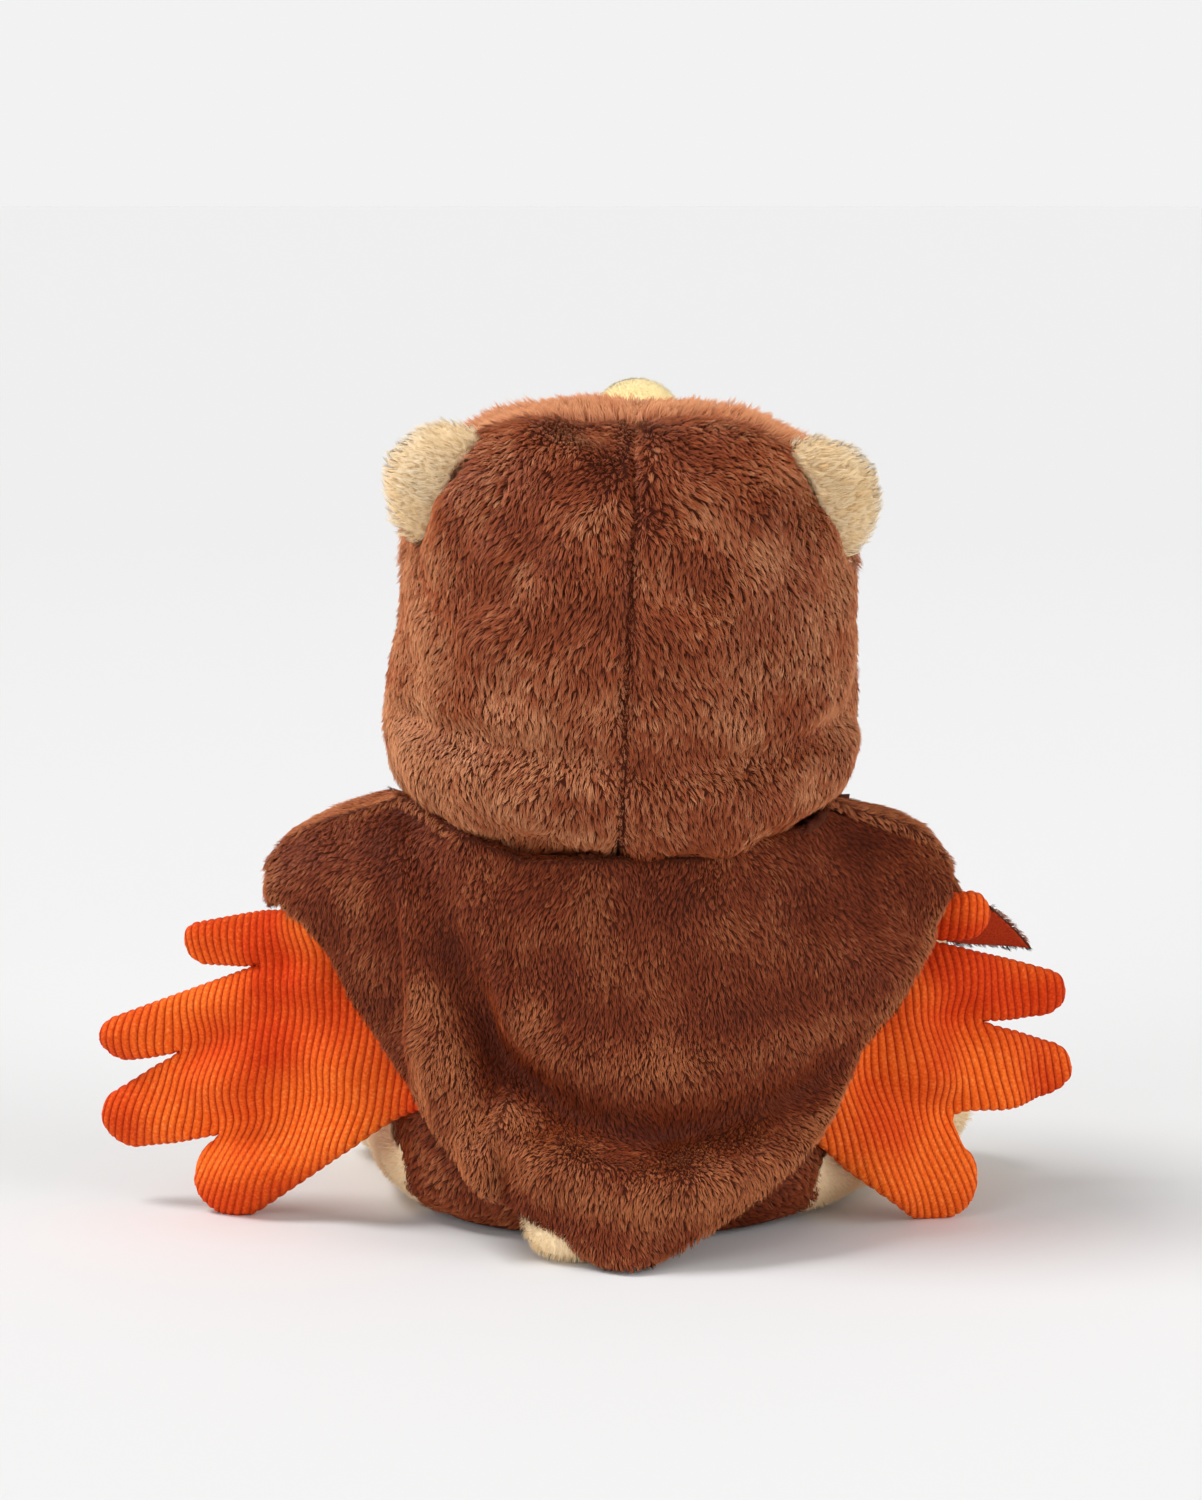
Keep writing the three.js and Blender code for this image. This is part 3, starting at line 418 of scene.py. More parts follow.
def pile(name, surface, made_of, attach, flow, seed, per_mm2=3.4, length=3.6, width=0.3, lean=62, clump=8,
         pull=0.72, spread=0.2, tone=None, trim=None, rounded=0.7, glow=0.0):
    """Tapered locks of pile over a surface, each bending along flow, their tips drawn together in clumps.
    glow turns the shading up to the light, which pale pile lets through. tone lightens or darkens the locks
    where it gives, and so paints light and shade on some pieces. Returns the pieces."""
    pick = np.random.default_rng(seed)
    at, up = scatter(*surface, per_mm2, seed)
    n = len(at)
    way = flow(at)
    way = unit(way - (way * up).sum(1, keepdims=True) * up)
    side = np.cross(up, way)
    swing = (pick.normal(0, spread, n) + 0.3 * wobble(at, 26, seed + 4))[:, None]
    way = way * np.cos(swing) + side * np.sin(swing)
    lie = lean(at) if callable(lean) else lean
    tilt = np.radians(np.clip(lie + pick.normal(0, 6, n) + 9 * wobble(at, 18, seed + 1), 10, 78))[:, None]
    reach = length * pick.uniform(0.72, 1.15, n) * (1 + 0.12 * wobble(at, 9, seed + 2))
    if trim is not None:
        reach = reach * trim(at)
    reach = reach[:, None]
    tip = at + (np.cos(tilt) * up + np.sin(tilt) * way) * reach
    heads = pick.choice(n, max(n // clump, 1), replace=False)
    nearest = tree_of(at[heads])
    mine = np.array([nearest.find(p)[1] for p in at])
    drawn = np.clip(pull + pick.normal(0, 0.15, len(heads)), 0, 0.95)[mine][:, None]
    tip = tip * (1 - drawn) + tip[heads][mine] * drawn + pick.normal(0, 0.08, (n, 3))
    root = at - up * 0.5
    bend = root + up * reach * 0.45 + (tip - root) * 0.25
    middle = 0.25 * root + 0.5 * bend + 0.25 * tip
    shade = 0.5 + pick.normal(0, 0.1, len(heads))[mine] + pick.normal(0, 0.06, n)
    shade = shade + 0.12 * wobble(at, 22, seed + 3)
    if tone is not None:
        shade = shade + tone(at)
    shade = np.clip(shade, 0.03, 0.97)
    girth = (width * pick.uniform(0.75, 1.25, n))[:, None] / 2
    verts, uv, lit = lock_shapes(root, middle, tip, up, girth, shade, rounded, glow)
    parts = max(1, math.ceil(n * len(LOCK_FACES) / MOST_FACES))
    order = np.argsort(at[:, 0], kind="stable")
    made = []
    for k, chosen in enumerate(np.array_split(order, parts)):
        faces = (LOCK_FACES[None] + 7 * np.arange(len(chosen))[:, None, None]).reshape(-1, 3)
        label = f"{name}_{k + 1}" if parts > 1 else name
        obj = mesh_object(label, verts[chosen].reshape(-1, 3), faces, made_of, uv=uv[chosen].reshape(-1, 2),
                          lit=lit[chosen].reshape(-1, 3))
        attach(obj)
        made.append(obj)
    return made


def rider(body):
    """What fixes a piece of pile to one body."""
    return lambda obj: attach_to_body(obj, body)


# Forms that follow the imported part

def spline(points, count):
    """Uniform Catmull-Rom points, count of them."""
    points = np.asarray(points, dtype=float)
    last = len(points) - 1
    t = np.linspace(0, last, count)
    i = np.minimum(t.astype(int), last - 1)
    w = (t - i)[:, None]
    p0, p1 = points[np.maximum(i - 1, 0)], points[i]
    p2, p3 = points[i + 1], points[np.minimum(i + 2, last)]
    v0, v1 = (p2 - p0) / 2, (p3 - p1) / 2
    return (2 * p1 - 2 * p2 + v0 + v1) * w ** 3 + (-3 * p1 + 3 * p2 - 2 * v0 - v1) * w ** 2 + v0 * w + p1


def curve(points, t):
    """A centripetal Catmull-Rom curve through points at shares t. Each point may be an array of places."""
    points = [np.asarray(p, dtype=float) for p in points]
    points = [2 * points[0] - points[1], *points, 2 * points[-1] - points[-2]]
    last = len(points) - 3
    i = min(int(t * last), last - 1)
    w = t * last - i
    p0, p1, p2, p3 = points[i:i + 4]
    d0, d1, d2 = (np.maximum(np.sqrt(np.linalg.norm(b - a, axis=-1, keepdims=True)), 1e-4)
                  for a, b in ((p0, p1), (p1, p2), (p2, p3)))
    t1 = ((p1 - p0) / d0 - (p2 - p0) / (d0 + d1) + (p2 - p1) / d1) * d1
    t2 = ((p2 - p1) / d1 - (p3 - p1) / (d1 + d2) + (p3 - p2) / d2) * d1
    return p1 + t1 * w + (-3 * p1 + 3 * p2 - 2 * t1 - t2) * w ** 2 + (2 * p1 - 2 * p2 + t1 + t2) * w ** 3


def lathe(shape, half_width, bottom, top, depth_ratio, grow, around, up, seat=0):
    """An upright stuffed form, revolved from shares of its half width and height and flattened. seat is the
    number of rings that close it below."""
    side = spline([(w * half_width, bottom + h * (top - bottom)) for w, h in shape], up)
    along = unit(np.gradient(side, axis=0))
    side = np.stack([np.maximum(side[:, 0] + grow * along[:, 1], 0), side[:, 1] - grow * along[:, 0]], 1)
    if seat:
        inner = np.stack([np.linspace(0, side[0, 0], seat, endpoint=False), np.full(seat, side[0, 1])], 1)
        side = np.concatenate([inner, side])
        up = up + seat
    angle = np.linspace(0, 2 * np.pi, around, endpoint=False)
    x = side[:, :1] * np.cos(angle)
    y = side[:, :1] * np.sin(angle) * depth_ratio
    z = np.repeat(side[:, 1:], around, 1)
    return np.stack([x, y, z], -1).reshape(-1, 3), grid_faces(up, around, True)


def leaned(points, degrees=-HEAD_LEAN):
    """From the head's upright frame to its place, leaning to the bear's right about the neck."""
    a = math.radians(degrees)
    x, z = points[:, 0], points[:, 2] - NECK
    return vectors(x * math.cos(a) + z * math.sin(a), points[:, 1], NECK - x * math.sin(a) + z * math.cos(a))


def upright(points):
    """From the head's place back to its upright frame."""
    return leaned(points, HEAD_LEAN)


def softened(name, voxel, rounds):
    """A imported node's mesh as points and faces, its facets melted into a stuffed form."""
    source = nodes_of[name]
    mesh = source.data.copy()
    mesh.transform(source.matrix_world)
    copy = bpy.data.objects.new(name + "_soft", mesh)
    bpy.context.scene.collection.objects.link(copy)
    step = copy.modifiers.new("remesh", "REMESH")
    step.mode = "VOXEL"
    step.voxel_size = voxel * MM
    step = copy.modifiers.new("smooth", "SMOOTH")
    step.factor = 0.5
    step.iterations = rounds
    bpy.context.view_layer.update()
    shaped = copy.evaluated_get(bpy.context.evaluated_depsgraph_get()).to_mesh()
    points = np.empty(len(shaped.vertices) * 3, dtype=np.float32)
    shaped.vertices.foreach_get("co", points)
    shaped.calc_loop_triangles()
    faces = np.empty(len(shaped.loop_triangles) * 3, dtype=np.int32)
    shaped.loop_triangles.foreach_get("vertices", faces)
    bpy.data.objects.remove(copy)
    return points.reshape(-1, 3).astype(float) / MM, faces.reshape(-1, 3)


# Pieces and the imported nodes they stand for

def finish_piece(obj, slot, *replaced):
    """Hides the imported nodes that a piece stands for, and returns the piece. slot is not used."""
    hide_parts(*replaced)
    return obj


def cloth_piece(obj, surface, slot, flat, held, rests_on, locks, *replaced):
    """Hides the imported nodes that a sheet of cloth stands for. flat, the (width, length) in metres that it
    was cut from, and its pile are not used.
    """
    finish_piece(obj, slot, *replaced)


def stuffed_piece(name, body, made_of, slot, voxel, rounds, locks=None, settle=None):
    """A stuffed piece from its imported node, with a coat of short pile where locks gives its settings. settle
    moves its points to where its own weight takes them."""
    points, faces = softened(name, voxel, rounds)
    surface = (settle(points) if settle else points, faces)
    obj = mesh_object(name + "_stuffed", *surface, made_of, body)
    finish_piece(obj, slot, name)
    if locks:
        for lock in pile(name + "_pile", surface, attach=rider(body), **locks):
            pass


def small_sheet(name, body, made_of, slot, voxel, rounds, lift=0):
    """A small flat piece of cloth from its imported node; returns it and its surface."""
    points, faces = softened(name, voxel, rounds)
    surface = (points + lift, faces)
    obj = mesh_object(name + "_cloth", *surface, made_of, body)
    return finish_piece(obj, slot, name), surface


# Hood: the head's form with its creases, cut into its panels

HOOD_SHAPE = [(0.5, 0), (0.74, 0.03), (0.9, 0.095), (0.985, 0.21), (1, 0.41), (0.975, 0.615), (0.915, 0.78),
              (0.8, 0.905), (0.6, 0.975), (0.3, 0.997), (0, 1)]
BROW_SEAM_LEAN = math.radians(22.5)


def past_brow(points):
    """How far a point lies behind the plane of the seam between the hood's front and back panels."""
    back, rise = points[:, 1], points[:, 2] - BROW_HEIGHT
    return back * math.cos(BROW_SEAM_LEAN) - rise * math.sin(BROW_SEAM_LEAN)


def hood_form(grow, around=330, up=170):
    """The upright head's form, grown all round, with the hood's creases and seams pressed into it."""
    points, faces = lathe(HOOD_SHAPE, HOOD_HALF_WIDTH, NECK, HOOD_TOP, 0.9, grow, around, up)
    out = normals(points, faces)
    x, y, z = points.T
    back = np.clip(y / 20, 0, 1)
    smile = 140 + 0.0022 * x ** 2 + 2 * np.sin(x / 15)
    crease = -4.0 * hump(z - smile, 4.5) * back
    roll = 2.6 * hump(z - smile + 14, 8.5) * back
    brow = past_brow(points)
    seam = -2.0 * hump(x, 1.8) * np.clip(brow / 4 + 1, 0, 1)
    seam = seam - 1.6 * hump(brow, 2) * ramped(z, 150, 40)
    soft = 1.4 * wobble(points, 50, 21) + 0.9 * wobble(points, 22, 22) * back
    return points + out * np.maximum(crease + roll + seam + soft, -4.4)[:, None], faces


def hood_parts(points, faces):
    """Which faces of the head's form lie behind the side seams, in the openings, and past the ear slits."""
    middle = points[faces].mean(1)
    x, y, z = middle.T
    behind = past_brow(middle) > 0
    hole = ((x / 45) ** 2 + ((z - FACE_HEIGHT) / 42) ** 2 < 1) & (y < 0)
    hole |= (np.hypot(x, y) < 36) & (z < 125)
    slit = np.zeros(len(x), dtype=bool)
    for side in (1, -1):
        out, rise = side * x - EAR_OUT, z - EAR_HEIGHT
        high = np.maximum(rise - out, 0)
        slit |= (out + rise > 3 + 0.008 * high ** 2) & behind
        back = y - 15 - 0.15 * (z - EAR_ROOT)
        hole |= (out / 17.5) ** 2 + (back / 6.5) ** 2 + (rise / 17.5) ** 2 < 1
    return x, behind, hole, slit


def hood_flow(p):
    """The back panels' pile runs down, and out from the centre seam towards the crown."""
    p = upright(p)
    outward = p[:, 0] / (np.abs(p[:, 0]) + 12) * (0.35 + 0.5 * ramped(p[:, 2], 150, 70))
    return vectors(outward, 0.45, -1)


def brow_flow(p):
    """The front panel's pile runs forward from the seam over the crown, and out to the sides."""
    p = upright(p)
    outward = p[:, 0] / (np.abs(p[:, 0]) + 12)
    crown = ramped(p[:, 2], 195, 20)
    return vectors(outward, 0.3 - 1.3 * crown, -1 + 0.8 * crown)


def middle_of(name):
    """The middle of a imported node's box, in mm."""
    node = nodes_of[name]
    return np.mean([node.matrix_world @ Vector(corner) for corner in node.bound_box], axis=0) / MM


PATCHES = [middle_of("brow_patch_left"), middle_of("brow_patch_right")]


def hood_trim(p):
    """The pile is caught short in the centre seam and under the brow patches, and longest along the brow."""
    pressed = np.minimum.reduce(
        [np.clip((np.linalg.norm(p - middle, axis=1) - 13) / 3, 0.2, 1) for middle in PATCHES])
    p = upright(p)
    caught = np.where(p[:, 1] > -10, np.clip(0.3 + np.abs(p[:, 0]) / 4, 0.3, 1), 1)
    fringe = 1 + 0.5 * hump(np.maximum(past_brow(p), 0), 3) * ramped(p[:, 2], 185, 20)
    return pressed * caught * fringe * np.clip(0.9 + (p[:, 2] - 150) / 240, 0.85, 1)


def hood_lean(p):
    """The pile is brushed flat low on the back and stands up more towards the crown and the brow."""
    p = upright(p)
    return np.clip(72 - (p[:, 2] - 150) / 5, 60, 72) - 14 * np.clip(0.5 - past_brow(p) / 6, 0, 1)


def hood_painted_light(p):
    """Painted light: lighter over the brow and at the sides, where light from above and from either side
    catches the pile, and low on the bear's left, where the lamp on that side falls on the flat-lying pile; a
    painted highlight high on the bear's right; and a little darker down the middle of the back.
    """
    p = upright(p)
    x, y, z = p.T
    # painted light low on the left, over the brow and at the sides, and a painted highlight (sheen) high on
    # the right
    low = np.exp(-(((x - 30) / 38) ** 2 + ((z - 138) / 26) ** 2))
    brow = np.clip(0.5 - past_brow(p) / 5, 0, 1) * ramped(z, 195, 15)
    sides = ramped(np.abs(x), 45, 20)
    sheen = np.exp(-((x + 36) / 16) ** 2 - ((z - 178) / 30) ** 2)
    return 0.36 * low + 0.5 * brow + 0.3 * sides + 0.2 * sheen - 0.06 * hump(x, 22) * (y > 0)


hood = hood_form(grow=-0.3)
across, behind, hole, slit = hood_parts(*hood)
panels = {
    "hood_left_panel": (~hole & behind & (across > 0) & ~slit, (0.118, 0.15), 4.0, hood_flow),
    "hood_right_panel": (~hole & behind & (across < 0) & ~slit, (0.118, 0.15), 4.0, hood_flow),
    "hood_front_panel": (~hole & ~behind, (0.25, 0.19), 2.2, brow_flow),
}
for number, (panel, (mask, flat, per_mm2, flow)) in enumerate(panels.items()):
    points, faces = keep_faces(*hood, mask)
    surface = (leaned(points), faces)
    shell = thick(*surface, PLUSH)
    coat = outer_and_rim(*shell, len(faces)) if flow is brow_flow else surface
    cloth = mesh_object(panel + "_cloth", *shell, BROWN_CLOTH, "head")
    locks = pile(panel + "_pile", coat, BROWN_PILE, rider("head"), flow, seed=100 + number, per_mm2=per_mm2,
                 width=0.26, lean=hood_lean, pull=0.64, tone=hood_painted_light, trim=hood_trim)
    cloth_piece(cloth, surface, "brown_plush", flat, "stretched", ["hood_lining"], locks, panel)

inside = hood_form(grow=-3.2, around=220, up=110)
_, _, hole, _ = hood_parts(*inside)
points, faces = keep_faces(*inside, ~hole)
surface = (leaned(points), faces)
lining = mesh_object("hood_lining_cloth", *thick(*surface, LINING_CLOTH), LINING, "head")
cloth_piece(lining, surface, "lining", (0.33, 0.2), "stretched", ["head_cover"], [], "hood_lining")


# Bear

def flow_to(outward, back, up):
    """Pile that runs one way on the bear's left, and the mirrored way on its right."""
    return lambda p: vectors(outward * np.sign(p[:, 0]), back, up)


down_flow = flow_to(0.2, 0, -1)
leg_flow = flow_to(0.5, -1, -0.4)  # along a limb, from the body forward
ear_flow = flow_to(0.8, 0.1, 0.35)  # out to an ear's edge
shorts_flow = flow_to(0.9, 0.2, -0.8)  # down and out to the hips


def laid_back(points):
    """The ears lie back out of their slits towards their tops, which spread a little."""
    raised = np.maximum(points[:, 2] - EAR_ROOT, 0)
    return points + vectors(0.04 * np.sign(points[:, 0]) * raised, 5 + 0.15 * raised, 0.06 * raised)


def spread_thigh(points):
    """The thighs spread outward and back where they come out of the shorts."""
    near = ramped(points[:, 1], -45, 45)
    left = points[:, 0] > 0
    return points + vectors(np.where(left, 7, -5) * near, np.where(left, 2, 6) * near, 0)


def sagged(points):
    """The tail's lower half spreads back and to the bear's left on the floor."""
    return points + np.array([9, 10, 0]) * np.clip(1 - points[:, 2:] / 17, 0, 1)


def plumped(points):
    """The beak is spread sideways by its stuffing."""
    return points * np.array([1.2, 1, 1])


def skin(seed, flow, length=2.2, per_mm2=1.9, width=0.2, lean=48, **more):
    """The settings for a coat of short pile, cream unless more says otherwise."""
    settings = {"made_of": CREAM_PILE, "flow": flow, "seed": seed, "length": length, "per_mm2": per_mm2,
                "width": width, "lean": lean, "clump": 3, "pull": 0.3, "rounded": 0.3, "glow": 0.3}
    settings.update(more)
    return settings


head = hood_form(grow=-4.6, around=160, up=90)
head = (leaned(head[0]), head[1])
cover = mesh_object("head_cover_stuffed", *head, CREAM_CLOTH, "head")
finish_piece(cover, "cream_plush", "head_cover")
x, y, z = head[0][head[1]].mean(1).T
face = keep_faces(*head, (((x + 2) / 47) ** 2 + ((z - FACE_HEIGHT) / 44) ** 2 < 1) & (y < 0))
for lock in pile("head_cover_pile", face, attach=rider("head"), **skin(200, down_flow)):
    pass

TORSO_SHAPE = [(0.77, 0), (0.93, 0.08), (1, 0.25), (0.97, 0.44), (0.85, 0.67), (0.66, 0.85), (0.52, 0.95),
               (0.49, 1)]


def torso_form(grow, around, up, seat):
    """The torso, spread at the hips by the bear's weight."""
    points, faces = lathe(
        TORSO_SHAPE, TORSO_HALF_WIDTH, TORSO_BOTTOM, TORSO_TOP, 0.75, grow, around, up, seat)
    x, _, z = points.T
    points[:, 0] += np.sign(x) * 6 * ramped(np.abs(x), 25, 30) * np.clip(1.1 - z / 50, 0, 1)
    return points, faces


torso = torso_form(grow=0, around=140, up=80, seat=8)
cover = mesh_object("torso_cover_stuffed", *torso, CREAM_CLOTH, "torso")
finish_piece(cover, "cream_plush", "torso_cover")
for name, body, made_of, slot in (
    ("torso_stuffing", "torso", STUFFING, "stuffing"),
    ("head_stuffing", "head", STUFFING, "stuffing"),
    ("pellet_bag", "torso", CALICO, "calico"),
):
    stuffed_piece(name, body, made_of, slot, voxel=3.0, rounds=6)
ON_HOOD_PILE = np.array([0, -0.5, 0.9])  # how far the pile lifts the patches that lie on it
for number, side in enumerate(("left", "right")):
    long_pile = skin(210 + number, ear_flow, length=4.2, per_mm2=3.2, width=0.22, lean=57, clump=8, pull=0.66,
                     glow=0.9)
    stuffed_piece(f"ear_{side}", "head", CREAM_CLOTH, "cream_plush", voxel=1.0, rounds=14,
                  locks=long_pile, settle=laid_back)
    stuffed_piece(f"arm_{side}", f"arm_{side}", CREAM_CLOTH, "cream_plush", voxel=1.3, rounds=20,
                  locks=skin(220 + number, leg_flow))
    stuffed_piece(f"leg_{side}", f"leg_{side}", CREAM_CLOTH, "cream_plush", voxel=1.4, rounds=20,
                  locks=skin(230 + number, leg_flow), settle=spread_thigh)
    sole, _ = small_sheet(f"sole_{side}", f"leg_{side}", CREAM_CLOTH, "cream_plush", voxel=0.7, rounds=4)
    patch, surface = small_sheet(f"brow_patch_{side}", "head", WHITE_CLOTH, "white_plush", voxel=0.8,
                                 rounds=4, lift=ON_HOOD_PILE)
    locks = pile(f"brow_patch_{side}_pile", surface, WHITE_PILE, rider("head"), hood_flow, seed=240 + number,
                 per_mm2=2.4, length=1.6, width=0.22, lean=40, clump=3)
stuffed_piece("tail", "torso", CREAM_CLOTH, "cream_plush", voxel=1.2, rounds=14,
              locks=skin(250, down_flow, length=2.6, per_mm2=2.2, width=0.18, lean=44), settle=sagged)
stuffed_piece("muzzle", "head", CREAM_CLOTH, "cream_plush", voxel=1.2, rounds=12,
              locks=skin(251, down_flow))
felted = skin(252, hood_flow, length=1.3, per_mm2=2.6, width=0.14, lean=40, made_of=YELLOW_PILE, rounded=0.4,
              glow=0.0)
stuffed_piece("beak", "head", YELLOW_CLOTH, "yellow_plush", voxel=0.8, rounds=16, locks=felted,
              settle=plumped)
for name, made_of in (("eye_left", EYE), ("eye_right", EYE), ("nose", EYE), ("eye_washer_left", WASHER),
                      ("eye_washer_right", WASHER)):
    hard = nodes_of[name]
    hard.data.materials.clear()
    hard.data.materials.append(made_of)
    hard.data.shade_smooth()
    if name == "nose":
        hard.modifiers.new("weld", "WELD")
        step = hard.modifiers.new("round", "SUBSURF")
        step.levels = step.render_levels = 2

# Shorts: the torso's form below the waist, with holes for the legs and the tail
shorts = torso_form(grow=2.6, around=260, up=110, seat=20)
x, y, z = shorts[0][shorts[1]].mean(1).T
cut = z > WAIST
# Of each leg: its side, its splay in degrees, the hip's place, and how far ahead of that its hole begins
for side, splay, hip, begin in ((1, 22, (47, 4), 3), (-1, 40, (45, 8), -1)):
    way = np.array([math.sin(math.radians(splay)) * side, -math.cos(math.radians(splay))])
    dx, dy = x - hip[0] * side, y - hip[1]
    ahead = dx * way[0] + dy * way[1]
    off = np.hypot(dx - ahead * way[0], dy - ahead * way[1])
    rounded = np.minimum(ahead - begin - 13, 0)
    cut |= (off ** 2 + (z - LEG_HOLE) ** 2 + rounded ** 2 < LEG_HOLE ** 2) & (ahead > begin)
# The tail's hole
cut |= ((x - 4) / 22) ** 2 + ((y - 46) / 16) ** 2 + ((z - 13.3) / 13.8) ** 2 < 1
shorts = keep_faces(*shorts, ~cut)


def shorts_painted_shade(p):
    """Painted shade: darker under the cape, where it shades the shorts, than out at the sides."""
    edge = np.interp(p[:, 2], [3, 19, 39, 68], [12, 38, 57, 77])
    return -0.3 + 0.3 * ramped(np.abs(p[:, 0]), edge, 12)


shell = mesh_object("shorts_cloth", *thick(*shorts, SHORTS_PLUSH), BROWN_CLOTH, "torso")
above_seat = keep_faces(*shorts, shorts[0][shorts[1]].mean(1)[:, 2] > 3)
locks = pile("shorts_pile", above_seat, VELVET_PILE, rider("torso"), shorts_flow, seed=300, length=2.8,
             width=0.28, tone=shorts_painted_shade)
cloth_piece(shell, shorts, "brown_plush", (0.37, 0.07), "stretched", ["torso_cover"], locks, "shorts")

# Wings: outlines with scalloped edges, swollen by their padding and ridged by the corduroy

WALE = 2.31  # one ridge of corduroy with eleven to the inch
WALE_START, WALE_BEND = 10, 150  # the height where the wales begin to bend, and how gently
WING_ROOT, WING_SWEEP = (30, 34.8), math.radians(20.2)
PADDING = 3.2
# Of each wing, drawn flat: its shoulder, its feathers as (tip, radius, notch after it), and the wales' lean
WINGS = {
    "left": ((66, 90.5), [((95.7, 79), 4.8, (70, 75.5)), ((121, 49.5), 5.2, (100.5, 47.5)),
                          ((119.5, 25.8), 7.5, (93.5, 22.5)), ((86.5, 12), 11.3, (37.5, 33))], (-0.40, 0.10)),
    "right": ((45, 92), [((73.5, 89), 5.6, (58, 82)), ((97.3, 65), 5.4, (76, 57.4)),
                         ((100, 41.5), 6.6, (71, 31.3)), ((65.5, 12), 11.3, (27.7, 26.7))], (-0.38, -0.04)),
}


def wing_outline(shoulder, feathers):
    """The wing's edge as drawn flat, its corners rounded, at even steps."""
    edge = [np.array([-5.0, 90]), np.array(shoulder, dtype=float)]
    for tip, radius, notch in feathers:
        tip, notch = np.array(tip, dtype=float), np.array(notch, dtype=float)
        root = (edge[-1] + notch) / 2
        angle = math.atan2(*(tip - root)[::-1])
        for turn in range(90, -91, -15):
            way = angle + math.radians(turn)
            edge.append(tip + radius * np.array([math.cos(way), math.sin(way)]))
        edge.append(notch)
    edge.append(np.array([-5.0, 50]))
    edge = np.array(edge)
    for _ in range(3):
        after = np.roll(edge, -1, 0)
        edge = np.stack([0.8 * edge + 0.2 * after, 0.2 * edge + 0.8 * after], 1).reshape(-1, 2)
    ring = np.concatenate([edge, edge[:1]])
    length = np.concatenate([[0], np.cumsum(np.linalg.norm(np.diff(ring, axis=0), axis=1))])
    at = np.arange(0, length[-1], 0.45)
    return np.stack([np.interp(at, length, ring[:, k]) for k in (0, 1)], 1)


def wale_place(p, slope):
    """How far across the wales a point lies; the wales lean more towards the wing's lower edge."""
    low, high = slope
    rise = p[:, 1] - WALE_START
    return p[:, 0] - low * rise - (high - low) * rise ** 2 / WALE_BEND


def ridge(across):
    """A wale's rounded profile, from 0 in the groove to 1 on top."""
    return np.sqrt(np.maximum(np.abs(np.cos(np.pi * across / WALE)), 1e-6))


def within(points, ring):
    """Which points lie inside a closed ring, by counting the edges that a level line crosses."""
    odd = np.zeros(len(points), dtype=bool)
    for (ax, ay), (bx, by) in zip(ring, np.roll(ring, -1, 0)):
        spans = (ay > points[:, 1]) != (by > points[:, 1])
        if ay != by:
            odd ^= spans & (points[:, 0] < (bx - ax) * (points[:, 1] - ay) / (by - ay) + ax)
    return odd


def wing_spots(edge, slope):
    """Points within the wing's edge, in rows of eight to a wale, and how far each lies from the edge."""
    nearest = tree_of([(u, z, 0) for u, z in edge])
    low, high = edge.min(0), edge.max(0)
    step = WALE / 8
    rows = []
    for z in np.arange(low[1], high[1], 0.9):
        rise = z - WALE_START
        start = slope[0] * rise + (slope[1] - slope[0]) * rise ** 2 / WALE_BEND
        first = math.floor((low[0] - start) / step) * step
        u = np.arange(first, high[0] - start, step) + start
        rows.append(np.stack([u, np.full(len(u), z)], 1))
    spots = np.concatenate(rows)
    spots = spots[within(spots, edge)]
    near = np.array([nearest.find((u, z, 0))[2] for u, z in spots])
    return spots[near > 0.4], near[near > 0.4]


def feather_dents(where, feathers):
    """How deep the wing is drawn in along the channels that run inward from its notches."""
    dent = np.zeros(len(where))
    for (tip, _, notch), (after, _, _) in zip(feathers, feathers[1:]):
        notch = np.array(notch)
        inward = unit(notch - (np.array(tip) + np.array(after)) / 2)
        along = (where - notch) @ inward
        off = np.abs((where - notch) @ np.array([-inward[1], inward[0]]))
        dent += 3.6 * hump(off, 6.5) * np.clip(1 - along / 42, 0, 1) * np.clip(along / 8 + 1, 0, 1)
    return dent


